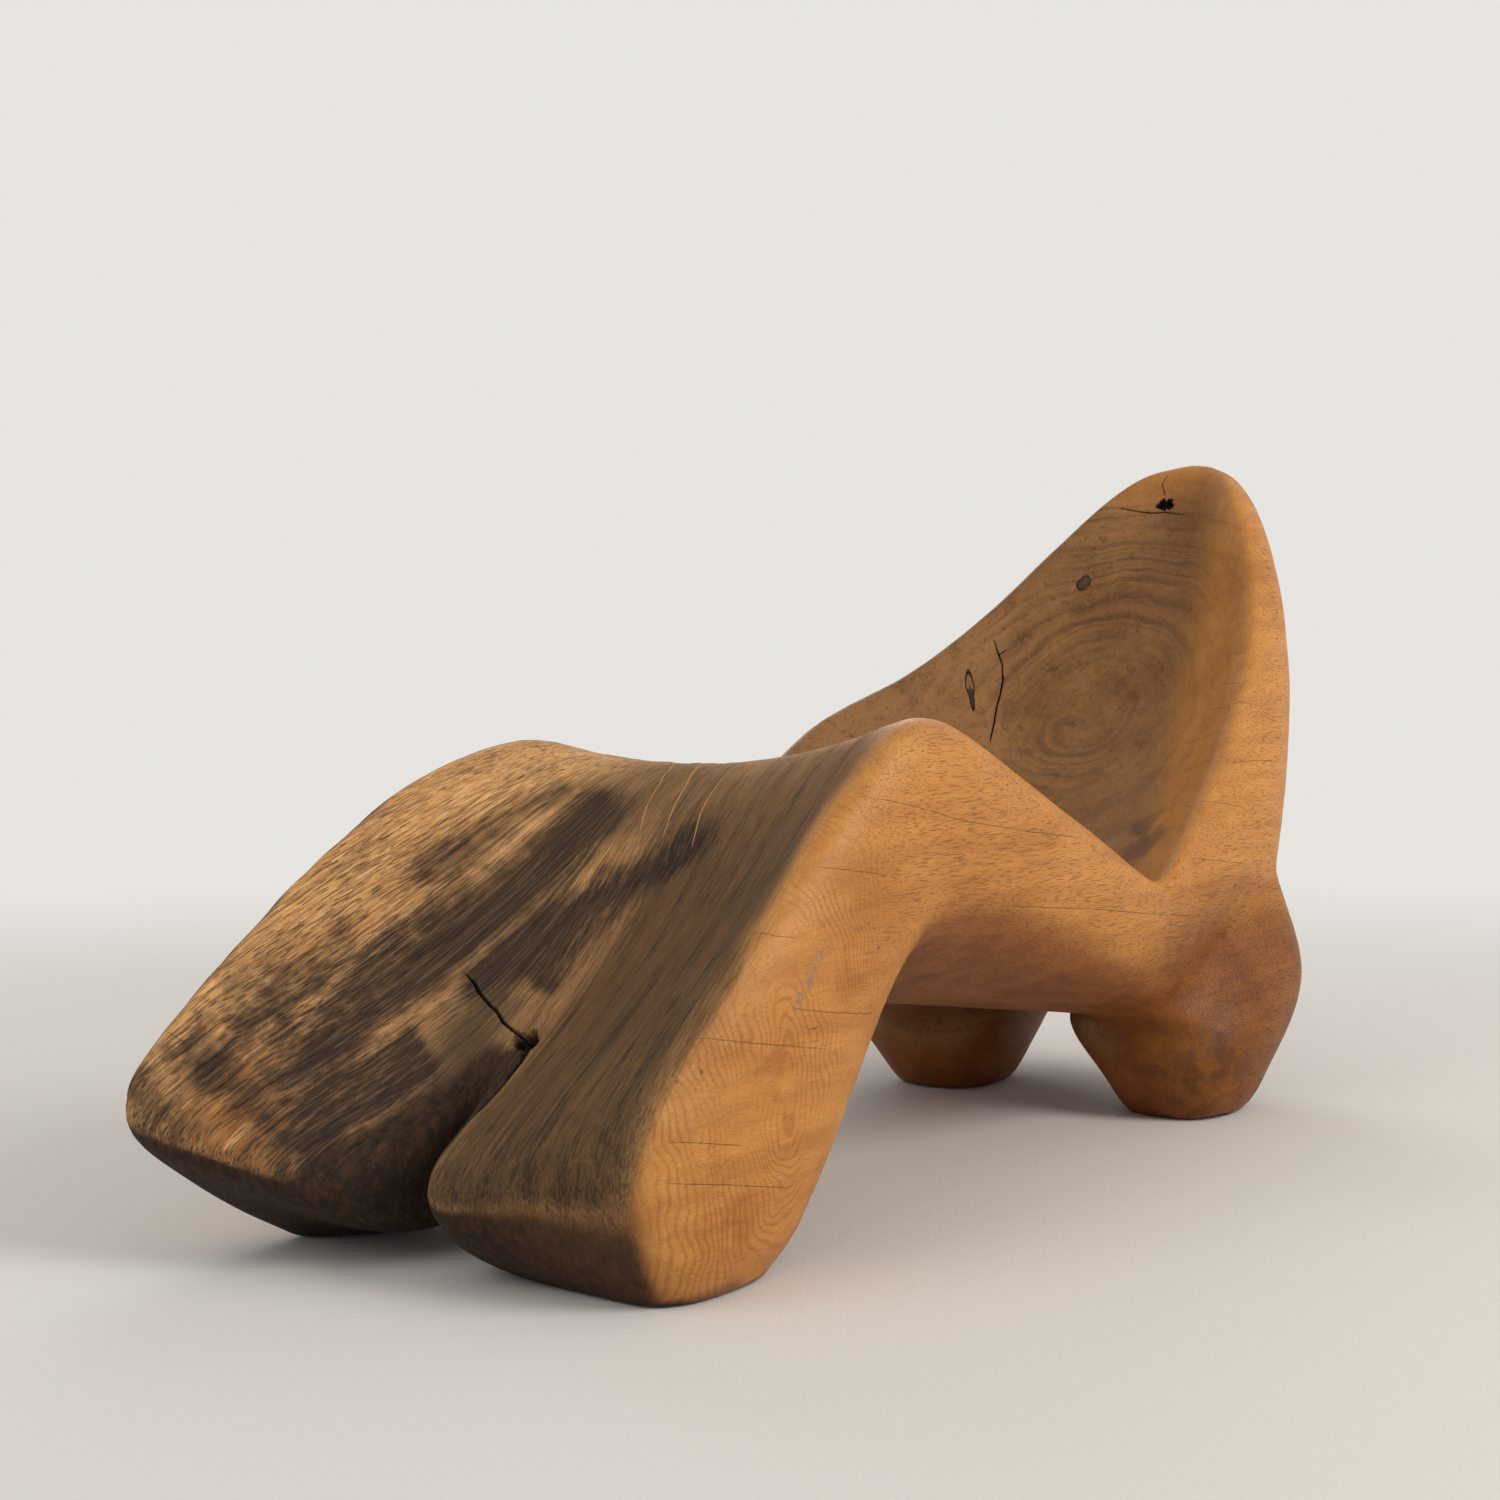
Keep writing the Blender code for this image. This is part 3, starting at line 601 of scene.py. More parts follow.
def trunk_mesh():
    """A fine mesh of the whole trunk, its sockets closed, denser where the wood has detail."""
    rounded = smooth_trunk()
    tree = tree_of(rounded_mesh(rounded, SURFACE_LEVEL))
    mesh = rounded_mesh(rounded, BASE_LEVEL)
    bpy.data.objects.remove(rounded)

    co = vertex_vectors(mesh, "co")
    clear = outside_sockets(co)
    set_coordinates(mesh, relaxed(on_surface(co, tree, clear), edge_pairs(mesh), SOCKET_STEPS, ~clear))
    add_bend(mesh)
    closed = tree_of(mesh)
    lines = Lines(closed)
    seats = [(knot, knot_seat(knot, closed)) for knot in (BACK_KNOT, CROWN_KNOT, BARK_POCKET)]

    wanted = detail_edge(lines, seats)
    for _ in range(REFINE_STEPS):
        known = len(mesh.vertices)
        refine(mesh, wanted)
        co = vertex_vectors(mesh, "co")
        clear = outside_sockets(co)
        fresh = np.arange(len(co)) >= known
        placed = on_surface(co, tree, clear & fresh)
        set_coordinates(mesh, relaxed(placed, edge_pairs(mesh), FRESH_STEPS, ~clear & fresh))
    return mesh, lines, seats


class Marks:
    """Where the trunk is weathered, stained, hollowed, sooty or cracked, and where shade and highlight are
    painted, one number a vertex each.
    """

    names = ("weather", "stain", "worn_and_shaded", "hollow", "under", "soot_and_shade", "front", "edge", "umber_and_shadow", "rust",
             "ridge", "crease", "scuff", "crack", "split", "check", "scratch")

    def __init__(self, mesh, lines, seats):
        self.world = vertex_vectors(mesh, "co")
        self.points = self.world - LOG_ORIGIN
        self.normals = vertex_vectors(mesh, "normal")
        self.up_slope = self.normals @ np.array(SLOPE_NORMAL)
        self.top = smooth(*TOP_FACING, self.up_slope)
        self.wander = clouds(self.points, EDGE_WANDER)
        self.lines = lines
        self.mark_legrest()
        self.mark_body()
        self.mark_feet()
        self.mark_bends(mesh)
        self.mark_lines()
        self.mark_holes(seats)

    def mark_legrest(self):
        """The weathered top, with its stains, its worn trough darkened partly as painted shade, its near
        half darkened partly as painted shadow, its far edge darkened as painted shade, and its rusty toe.
        """
        x, y, _ = self.points.T
        near_edge = smooth(*NEAR_RIDGE, y + 0.25 * self.wander)
        self.weather = self.top * smooth(*LEGREST_END, x + self.wander) * near_edge
        stains = [strength * stroke(self.points, path, half_width) for path, half_width, strength in STAINS]
        self.stain = np.max(stains, axis=0) * self.weather
        # Worn trough, smoother and darker; its darkness is partly painted shade
        self.worn_and_shaded = patch(x, y, *WORN_AND_SHADED)
        # Near half: partly weathered umber wood, partly painted shadow of the near ridge
        self.umber_and_shadow = self.weather * smooth(*UMBER_SIDE, y) * smooth(*UMBER_END, x)
        # Far edge: painted shade on the legrest's far side, which turns away from the light
        self.edge = self.weather * smooth(*FAR_SIDE_SHADE_FACING, self.normals[:, 1]) * smooth(*FAR_SIDE_SHADE_SIDE, y)
        self.rust = patch(x, y, *RUSTY)

    def mark_body(self):
        """The hollow of seat and back inside the near rim, and the underside."""
        x, y, z = self.points.T
        inner = smooth(*HOLLOW_FACING, self.up_slope) * smooth(*HOLLOW_START, x)
        crest = RIM_SIDE + RIM_LEAN * np.maximum(x - RIM_START, RIM_FORE)
        self.hollow = inner * smooth(*HOLLOW_RIM, y - crest + 0.3 * self.wander) * smooth(*HOLLOW_TOP, z)
        self.under = smooth(*UNDER_FACING, self.normals[:, 2]) * smooth(*UNDER_START, x)

    def mark_feet(self):
        """Brown fronts of the feet, with soot and painted shade on them and painted shade in the cleft,
        clear of the top and outer sides.
        """
        x, y, z = self.points.T
        across = self.normals[:, 1]
        outer = smooth(*OUTER_FACING, np.abs(across)) * smooth(*OUTER_SIDE, np.abs(y))
        self.front = smooth(*FRONT_END, x) * (1.0 - outer)
        near_side = smooth(*CLEAN_FACING, -across) * smooth(*CLEAN_NEAR, y)
        far_side = smooth(*CLEAN_FACING, across) * smooth(*CLEAN_FAR, y) * smooth(*CLEAN_TIP, x)
        # The fronts of the feet face away from the light: they are darkened partly as soot, partly as
        # painted shade, the near lobe only a little less
        sooty_and_shaded = smooth(*SOOT_AND_SHADE_END, x) * (1.0 - self.top) * (1.0 - near_side) * (1.0 - far_side)
        lobe = 1.0 - LOBE_CLEAN * smooth(*LOBE_SIDE, y)
        # Painted shade on the far wall of the cleft, deep between the feet
        wall = CLEFT_WALL - CLEFT_FLARE * x
        cleft_shade = smooth(*CLEFT_END, x) * smooth(*CLEFT_FAR, y - wall) * smooth(*CLEFT_NEAR, y)
        toe = TOE_SOOT_AND_SHADE * smooth(*TOE_END, x) * smooth(*TOE_TOP, z)
        self.soot_and_shade = np.clip(sooty_and_shaded * lobe + toe + cleft_shade, 0.0, 1.0)

    def mark_bends(self, mesh):
        """Ridges and creases, from the bend kept on the mesh."""
        bend = np.empty(len(self.points), np.float32)
        mesh.attributes["bend"].data.foreach_get("value", bend)
        self.ridge = smooth(*RIDGE_BEND, bend)
        self.crease = smooth(*CREASE_BEND, -bend)

    def mark_lines(self):
        """Scuffs as soft bands, and the signed distances to cracks, checks and scratches."""
        self.scuff = np.zeros(len(self.points))
        for line in self.lines.scuffs:
            gap = line.gap(self.world) / line.half_width
            self.scuff = np.maximum(self.scuff, 1.0 - smooth(0.2, 1.0, gap))
        self.split = nearest_across(self.lines.cracks, self.world)
        self.check = nearest_across(self.lines.checks, self.world)
        self.scratch = nearest_across(self.lines.scratches, self.world)

    def mark_holes(self, seats):
        """The rotted pocket and the sockets of the knots and the bark, and how black they are."""
        offset = (self.points - np.array(POCKET)) * np.array(POCKET_SQUEEZE)
        gap = np.linalg.norm(offset, axis=1) * (1.0 + clouds(self.points, POCKET_RAGGED))
        self.hole = 1.0 - smooth(0.25, 1.0, gap / POCKET_RADIUS)
        (dead, lean), (rotted, angle), (bark, turn) = (knot_polar(self.world, *row) for row in seats)
        self.oval = dead / knot_outline(lean)
        self.star = rotted / crown_outline(angle)
        self.drop = bark / bark_outline(turn)
        self.crack = smooth(0.1, 0.6, self.hole)
        rims = ((self.oval, 0.99, 1.06, 0.4), (self.star, 0.95, 1.20, 1.0), (self.drop, 0.98, 1.12, 0.7))
        for reach, low, high, share in rims:
            self.crack = np.maximum(self.crack, share * (1.0 - smooth(low, high, reach)))

    def flow(self):
        """Legrest coordinates that follow its fibres: down the slope, across it, and off its plane."""
        x, y, z = self.points.T
        lane = y + FIBRE_FAN * x * smooth(*FAN_SIDE, y)
        return np.stack((x, lane, FIBRE_SINK * (z - SLOPE * x)), axis=1)

    def relief(self):
        """How far each vertex moves out along its normal."""
        x, y, z = self.points.T
        flow = self.flow()
        lift = clouds(self.points, SWELL)
        lift += RIDGE_LIFT * self.ridge * smooth(*RIDGE_SIDE, y) * smooth(*RIDGE_END, x)
        lift -= CREASE_DEPTH * self.crease * smooth(*CREASE_START, x) * smooth(*CREASE_TOP, z)
        fibrous = FURROW_DEPTH * clouds(flow, FURROWS) + FIBRE_DEPTH * clouds(flow, FIBRES)
        calm = (1.0 - 0.7 * self.worn_and_shaded) * (1.0 - 0.5 * self.umber_and_shadow)
        lift += self.weather * calm * fibrous
        lift -= STAIN_DEPTH * self.stain
        for line in self.lines.cracks + self.lines.checks:
            lift -= line.depth * (1.0 - smooth(*GROOVE, np.abs(line.across(self.world))))
        lift -= POCKET_DEPTH * self.hole
        lift -= KNOT_SOCKET * (1.0 - smooth(0.98, 1.07, self.oval))
        lift -= KNOT_DISH * (1.0 - smooth(1.1, 2.2, self.oval))
        lift -= CROWN_SOCKET * (1.0 - smooth(0.70, 1.08, self.star))
        lift -= BARK_SOCKET * (1.0 - smooth(0.94, 1.12, self.drop))
        return lift * smooth(SOLE_HEIGHT / 3, 3 * SOLE_HEIGHT, z)

    def write(self, mesh):
        for name in self.names:
            layer = mesh.attributes.new(name, "FLOAT", "POINT")
            layer.data.foreach_set("value", getattr(self, name).astype(np.float32))


class Graph:
    """A material's node tree, built by calls that return output sockets."""

    def __init__(self, name):
        self.material = bpy.data.materials.new(name)
        self.material.use_nodes = True
        self.tree = self.material.node_tree
        self.shader = self.tree.nodes["Principled BSDF"]
        places = self.tree.nodes.new("ShaderNodeTexCoord").outputs["Object"]
        self.log = self.node("ShaderNodeMapping", 0, {0: places, 1: -Vector(LOG_ORIGIN)})

    def put(self, socket, value):
        if isinstance(value, bpy.types.NodeSocket):
            self.tree.links.new(value, socket)
        else:
            socket.default_value = value

    def node(self, kind, output, inputs, **settings):
        made = self.tree.nodes.new(kind)
        for key, value in settings.items():
            setattr(made, key, value)
        for key, value in inputs.items():
            self.put(made.inputs[key], value)
        return made.outputs[output]

    def math(self, operation, a, b=0.0, clamp=False):
        return self.node("ShaderNodeMath", 0, {0: a, 1: b}, operation=operation, use_clamp=clamp)

    def times(self, first, *others):
        """Product of fields and numbers."""
        for other in others:
            first = self.math("MULTIPLY", first, other)
        return first

    def weighted(self, *pairs):
        """Sum of fields, each times its own weight."""
        total = None
        for field, weight in pairs:
            term = self.times(field, weight)
            total = term if total is None else self.math("ADD", total, term)
        return total

    def less(self, field, share):
        """1 where a field is 0, falling by a share of it."""
        return self.math("SUBTRACT", 1.0, self.times(field, share))

    def centred(self, field):
        """A noise field about 0 instead of about a half."""
        return self.math("SUBTRACT", field, 0.5)

    def hypotenuse(self, a, b):
        return self.math("SQRT", self.math("ADD", self.times(a, a), self.times(b, b)))

    def mark(self, name):
        return self.node("ShaderNodeAttribute", "Fac", {}, attribute_name=name)

    def noise(self, scale, detail=3.0, roughness=0.55, distortion=0.0, vector=None):
        values = {"Vector": vector or self.log, "Scale": scale, "Detail": detail, "Roughness": roughness,
                  "Distortion": distortion}
        return self.node("ShaderNodeTexNoise", "Fac", values)

    def grain(self, scale, detail, roughness=0.55, distortion=0.0, vector=None):
        """Noise with its own scale along each axis."""
        stretched = self.node("ShaderNodeMapping", 0, {0: vector or self.log, 3: scale})
        return self.noise(1.0, detail, roughness, distortion, stretched)

    def line_noise(self, place, detail, roughness=0.5):
        """Noise along one line, for rings of uneven width."""
        values = {"W": place, "Scale": 1.0, "Detail": detail, "Roughness": roughness}
        return self.node("ShaderNodeTexNoise", "Fac", values, noise_dimensions="1D")

    def distance(self, spot):
        return self.node("ShaderNodeVectorMath", "Value", {0: self.log, 1: spot}, operation="DISTANCE")

    def ramp(self, value, low, high):
        values = {"Value": value, "From Min": low, "From Max": high}
        return self.node("ShaderNodeMapRange", 0, values, interpolation_type="SMOOTHSTEP")

    def mix(self, factor, a, b, blend="MIX"):
        return self.node("ShaderNodeMix", 2, {0: factor, 6: a, 7: b}, data_type="RGBA", blend_type=blend)

    def washed(self, colour, washes, blend="MIX"):
        """A colour with washes laid over it in turn, each a field, its share and its own colour."""
        for field, share, tint in washes:
            colour = self.mix(self.times(field, share), colour, tint, blend)
        return colour

    def shade(self, colour, roughness, height, bump_depth):
        bump = self.node("ShaderNodeBump", 0, {"Height": height, "Distance": bump_depth})
        self.put(self.shader.inputs["Base Color"], colour)
        self.put(self.shader.inputs["Roughness"], roughness)
        self.put(self.shader.inputs["Normal"], bump)
        return self.material


# Colours of the wood, linear
HONEY = (0.560, 0.240, 0.054, 1)
DEEPER = (0.640, 0.530, 0.480, 1)
PALER = (1.180, 1.380, 1.750, 1)
PORE_TINT = (0.270, 0.210, 0.240, 1)
HAUNCH = (0.205, 0.062, 0.008, 1)
REDDISH = (0.420, 0.145, 0.030, 1)
PORE = (0.150, 0.052, 0.014, 1)
STRAW = (0.670, 0.345, 0.125, 1)
BLEACHED = (0.860, 0.510, 0.220, 1)
GREY_TAN = (0.170, 0.098, 0.052, 1)
# Saddle, trough and umber below are darkened partly as painted shade
SADDLE = (0.108, 0.061, 0.031, 1)
TROUGH_SHADE = (0.060, 0.038, 0.024, 1)
SHADE_UMBER = (0.072, 0.039, 0.019, 1)
SHADE_UMBER_DEEP = (0.036, 0.021, 0.012, 1)
SILT = (0.018, 0.012, 0.010, 1)
SILT_BROWN = (0.105, 0.062, 0.038, 1)
RUST = (0.360, 0.140, 0.036, 1)
PATINA = (0.215, 0.094, 0.029, 1)
PATINA_PALE = (0.310, 0.150, 0.052, 1)
PATINA_DEEP = (0.075, 0.032, 0.012, 1)
UNDERSIDE = (0.290, 0.094, 0.022, 1)
SCUFF = (0.230, 0.165, 0.140, 1)
FRONT_BROWN = (0.112, 0.049, 0.019, 1)
# Scorch and char also serve as painted shade on the fronts of the feet and in the cleft
SCORCH = (0.056, 0.029, 0.015, 1)
CHAR = (0.013, 0.009, 0.007, 1)

# Finishes of the things in the log: pale tone, dark tone, rings across, roughness, darkness of the rim
DEAD_WOOD = ((0.125, 0.064, 0.028, 1), (0.038, 0.020, 0.010, 1), 9.0, 0.56, 0.55)
ROTTED_WOOD = ((0.060, 0.036, 0.020, 1), (0.014, 0.010, 0.008, 1), 5.0, 0.75, 0.80)
BARK = ((0.260, 0.130, 0.052, 1), (0.130, 0.064, 0.028, 1), 4.0, 0.62, 0.60)
FELT_DARK = (0.018, 0.013, 0.010, 1)
FELT_PALE = (0.075, 0.055, 0.042, 1)
WOOD_GLOSS = 0.20

# Depth of the bump in each material
WOOD_BUMP = 0.0012
PLUG_BUMP = 0.0008
FELT_BUMP = 0.0006
FLOOR_BUMP = 0.0004

# Grain of the wood: noise scales per metre along the log and across it
RING_DRIFT = (0.9, 3.0, 3.0)
RING_WOBBLE = (3.0, 11.0, 11.0)
RING_CURL = (14.0, 60.0, 60.0)
STREAK_GRAIN = (2.2, 46.0, 46.0)
FIBRE_GRAIN = (26.0, 520.0, 520.0)
PORE_GRAIN = (44.0, 900.0, 900.0)
CURL_GRAIN = (60.0, 95.0, 95.0)
CRUST_GRAIN = (90.0, 150.0, 70.0)

# Grain of the weathered legrest, along its fibres and across them
LANE_GRAIN = (3.0, 50.0, 50.0)
WARM_GRAIN = (3.0, 20.0, 20.0)
TUFT_GRAIN = (4.0, 250.0, 250.0)
HAIR_GRAIN = (7.0, 540.0, 540.0)
GRIT_GRAIN = (70.0, 190.0, 190.0)
THREAD_GRAIN = (5.0, 620.0, 620.0)
DASH_GRAIN = (52.0, 640.0, 640.0)
FLECK_GRAIN = (22.0, 105.0, 105.0)

# Limits of the tints along one axis of the log, each from absent to full
FOOT_SIDE = (-0.17, -0.24)
FOOT_END = (0.36, 0.22)
HAUNCH_TOP = (0.36, 0.20)
HAUNCH_START = (0.82, 1.00)
# Darker towards the floor
FLOOR_DARKENING = (0.050, 0.0)
SADDLE_START = (0.20, 0.30)
SADDLE_SIDE = (0.16, 0.06)
TIP_START = (0.02, -0.14)
DASH_START = (0.26, 0.02)
FLECK_START = (0.20, 0.06)

# Figure of the near foot's side: nested upright ovals about one spot, with their half sizes
FIGURE_SPOT = (0.130, 0.200)
FIGURE_HALF = (0.055, 0.130)
FIGURE_LINES = 8.5

# Cloudy patches on the near side: spot, reach
RED_PATCHES = (
    ((0.224, -0.288, 0.287), 0.060),
    ((0.057, -0.273, 0.063), 0.065),
    ((0.120, -0.280, 0.205), 0.050),
)
DARK_PATCH = ((1.041, -0.293, 0.069), 0.090)
# Painted shade in the deep corner where the seat meets the back: spot, reach
VALLEY_SHADE = ((1.140, -0.150, 0.350), 0.100)


def growth_rings(g, y, z):
    """Uneven rings about the pith, warped by slow and quick noise, as a share of dark late wood."""
    drift = g.grain(RING_DRIFT, 2.0)
    wobble = g.grain(RING_WOBBLE, 3.0)
    curl = g.grain(RING_CURL, 2.0)
    radius = g.hypotenuse(g.math("SUBTRACT", y, PITH_SIDE), g.math("SUBTRACT", z, PITH_HEIGHT))
    radius = g.math("ADD", radius, g.weighted((drift, 0.120), (wobble, 0.036), (curl, 0.005)))
    return g.ramp(g.line_noise(g.math("DIVIDE", radius, RING_SPACING), 4.0, 0.68), 0.36, 0.70)


def foot_side(g, x, y):
    """1 on the outer side of the near foot."""
    return g.times(g.ramp(y, *FOOT_SIDE), g.ramp(x, *FOOT_END))


def side_figure(g, x, y, z):
    """Fine upright ovals on the near foot's side, where the growth layers are cut at a slant."""
    wide = g.math("DIVIDE", g.math("SUBTRACT", x, FIGURE_SPOT[0]), FIGURE_HALF[0])
    tall = g.math("DIVIDE", g.math("SUBTRACT", z, FIGURE_SPOT[1]), FIGURE_HALF[1])
    sway = g.noise(9.0, 2.0)
    tremble = g.noise(60.0, 1.0)
    oval = g.math("ADD", g.hypotenuse(wide, tall), g.weighted((sway, 1.3), (tremble, 0.05)))
    wave = g.math("SINE", g.times(oval, FIGURE_LINES * 2 * math.pi))
    strength = g.times(foot_side(g, x, y), g.ramp(g.noise(14.0, 2.0), 0.34, 0.60))
    return g.times(g.ramp(wave, -0.2, 1.0), strength)


def spot_mask(g, spot, reach):
    """1 at a spot, falling to 0 at its reach."""
    return g.ramp(g.distance(spot), reach, 0.2 * reach)


def honey_wood(g, marks, axes, rings, fibre, pores, blotch, cloudy):
    """Oiled wood of the sides, redder and darker on the haunch, the underside and the fronts of the feet,
    paler on ridges as rubbed wood and painted highlight.
    """
    x, y, z = axes
    haunch = g.times(g.ramp(z, *HAUNCH_TOP), g.ramp(x, *HAUNCH_START))
    washes = [(haunch, 0.85, HAUNCH), (marks["under"], 0.80, UNDERSIDE), (marks["front"], 0.90, FRONT_BROWN)]
    for spot, reach in RED_PATCHES:
        washes.append((g.times(spot_mask(g, spot, reach), g.ramp(cloudy, 0.36, 0.62)), 0.75, REDDISH))
    honey = g.washed(HONEY, washes)

    # Ridges paler: partly rubbed wood, partly a painted highlight along them
    rubbed_highlit_ridge = g.math("SUBTRACT", marks["ridge"], marks["front"], clamp=True)
    streak = g.ramp(g.grain(STREAK_GRAIN, 4.0), 0.36, 0.68)
    smudge = g.times(g.ramp(cloudy, 0.42, 0.66), g.math("MAXIMUM", haunch, marks["under"]))
    tints = ((rubbed_highlit_ridge, 0.50, PALER), (streak, 0.38, DEEPER), (g.ramp(fibre, 0.50, 0.75), 0.55, PALER),
             (g.ramp(blotch, 0.48, 0.72), 0.42, DEEPER), (smudge, 0.55, DEEPER), (rings, 0.20, DEEPER),
             (side_figure(g, x, y, z), 0.50, DEEPER), (g.ramp(z, *FLOOR_DARKENING), 0.60, DEEPER),
             (pores, 0.56, PORE_TINT))
    honey = g.washed(honey, tints, "MULTIPLY")

    dark = g.times(spot_mask(g, *DARK_PATCH), g.ramp(cloudy, 0.40, 0.64))
    scuff = g.times(marks["scuff"], g.ramp(g.noise(230.0, 3.0, 0.65), 0.46, 0.58))
    return g.washed(honey, ((dark, 0.60, PATINA_DEEP), (scuff, 0.80, SCUFF)))


def hollow_wood(g, rings, pores, blotch, cloudy):
    """Browner patina of the seat and the back, with arcs of the growth rings and a curly mottle."""
    patina = g.mix(g.ramp(blotch, 0.36, 0.66), PATINA_PALE, PATINA)
    bands = g.times(rings, g.ramp(g.noise(4.5, 2.0), 0.34, 0.66))
    curls = g.grain(CURL_GRAIN, 5.0, 0.7, 1.2)
    washes = ((bands, 0.64, PATINA_DEEP), (g.ramp(cloudy, 0.54, 0.74), 0.45, PATINA_DEEP),
              (pores, 0.35, PATINA_DEEP), (g.ramp(curls, 0.52, 0.68), 0.55, PATINA_DEEP),
              (g.ramp(curls, 0.48, 0.34), 0.40, PATINA_PALE))
    return g.washed(patina, washes)


def oiled_wood(g, marks, axes):
    """Honey wood of the sides and patina of the hollow, with painted shade in the deep valley; also returns
    the fields that the bump needs.
    """
    x, y, z = axes
    rings = growth_rings(g, y, z)
    fibre = g.grain(FIBRE_GRAIN, 2.0)
    pores = g.times(g.ramp(g.grain(PORE_GRAIN, 1.0), 0.57, 0.67), g.less(foot_side(g, x, y), 0.6))
    blotch = g.noise(6.0, 4.0, 0.6)
    cloudy = g.noise(22.0, 3.0, 0.6)
    honey = honey_wood(g, marks, axes, rings, fibre, pores, blotch, cloudy)
    wood = g.mix(marks["hollow"], honey, hollow_wood(g, rings, pores, blotch, cloudy))

    spots = g.node("ShaderNodeTexVoronoi", "Distance", {"Vector": g.log, "Scale": 24.0})
    specks = g.times(g.ramp(spots, 0.055, 0.030), g.ramp(g.noise(13.0, 1.0), 0.50, 0.56))
    # Painted shade in the deep valley between seat and back
    valley_shade = g.times(spot_mask(g, *VALLEY_SHADE), g.ramp(cloudy, 0.30, 0.60))
    wood = g.washed(wood, ((valley_shade, 0.75, PATINA_DEEP), (specks, 0.80, PORE)))
    return wood, fibre, g.math("MAXIMUM", g.times(pores, 0.4), specks), blotch


def fibre_flow(g, axes):
    """Places on the legrest that follow its fibres, as in the relief."""
    x, y, z = axes
    fan = g.times(x, FIBRE_FAN, g.ramp(y, *FAN_SIDE))
    sunk = g.times(g.math("SUBTRACT", z, g.times(x, SLOPE)), FIBRE_SINK)
    return g.node("ShaderNodeCombineXYZ", 0, {0: x, 1: g.math("ADD", y, fan), 2: sunk})


def weathered_wood(g, marks, axes, blotch):
    """Worn, sun-bleached and stained fibres of the legrest, with painted shade on its worn trough, saddle,
    far edge and near half; also returns their tufts and dashes.
    """
    x, y, _ = axes
    stain, worn_and_shaded = marks["stain"], marks["worn_and_shaded"]
    flow = fibre_flow(g, axes)
    lanes = g.grain(LANE_GRAIN, 4.0, 0.6, vector=flow)
    warmth = g.grain(WARM_GRAIN, 3.0, vector=flow)
    tufts = g.grain(TUFT_GRAIN, 2.0, 0.6, vector=flow)
    hairs = g.grain(HAIR_GRAIN, 2.0, vector=flow)
    mottle = g.noise(34.0, 3.0, 0.6)
    grit = g.grain(GRIT_GRAIN, 3.0, 0.6, vector=flow)
    threads = g.ramp(g.grain(THREAD_GRAIN, 1.0, vector=flow), 0.58, 0.66)
    tone = g.weighted((lanes, 0.40), (tufts, 0.25), (hairs, 0.35))

    speckle = g.weighted((g.grain(DASH_GRAIN, 0.0, vector=flow), 1.0), (stain, 0.06), (mottle, 0.20))
    fading = g.math("ADD", g.times(g.ramp(x, *DASH_START), 0.65), 0.35)
    dashes = g.times(g.ramp(speckle, 0.74, 0.82), g.less(worn_and_shaded, 0.8), fading, g.less(marks["umber_and_shadow"], 0.7))
    flecks = g.ramp(g.grain(FLECK_GRAIN, 2.0, vector=flow), 0.60, 0.70)
    flecks = g.times(flecks, g.ramp(x, *FLECK_START))
    saddle = g.times(g.ramp(x, *SADDLE_START), g.ramp(y, *SADDLE_SIDE))
    tip = g.times(g.ramp(x, *TIP_START), g.ramp(mottle, 0.30, 0.66))
    umber_and_shadow = g.mix(g.ramp(tone, 0.38, 0.60), SHADE_UMBER_DEEP, SHADE_UMBER)
    torn = g.weighted((stain, 1.6), (lanes, -1.6), (tufts, -1.2), (mottle, 1.2), (grit, 0.8))
    silt = g.mix(g.ramp(g.weighted((hairs, 0.6), (tufts, 0.4)), 0.45, 0.66), SILT, SILT_BROWN)
    scratch = g.ramp(g.math("ABSOLUTE", marks["scratch"]), 1.0, 0.4)

    washes = ((threads, 0.60, SILT_BROWN), (g.ramp(hairs, 0.48, 0.66), 0.70, BLEACHED),
              (g.ramp(warmth, 0.50, 0.68), 0.30, RUST), (g.ramp(blotch, 0.46, 0.66), 0.35, GREY_TAN),
              # The saddle and the worn trough are darkened partly as painted shade
              (saddle, 0.65, SADDLE), (worn_and_shaded, 0.92, TROUGH_SHADE), (tip, 0.80, SADDLE),
              # The far edge in umber is painted shade
              (marks["edge"], 0.80, SHADE_UMBER), (marks["rust"], g.ramp(tufts, 0.35, 0.60), RUST),
              # The near half in umber is partly weathered wood, partly painted shadow
              (marks["umber_and_shadow"], 0.85, umber_and_shadow), (dashes, 0.60, SILT), (flecks, 0.50, SILT),
              (stain, 0.55, SILT_BROWN), (g.ramp(torn, -0.36, 0.95), 0.86, silt), (scratch, 0.75, STRAW))
    old = g.washed(g.mix(g.ramp(tone, 0.32, 0.56), GREY_TAN, STRAW), washes)
    return old, tufts, dashes


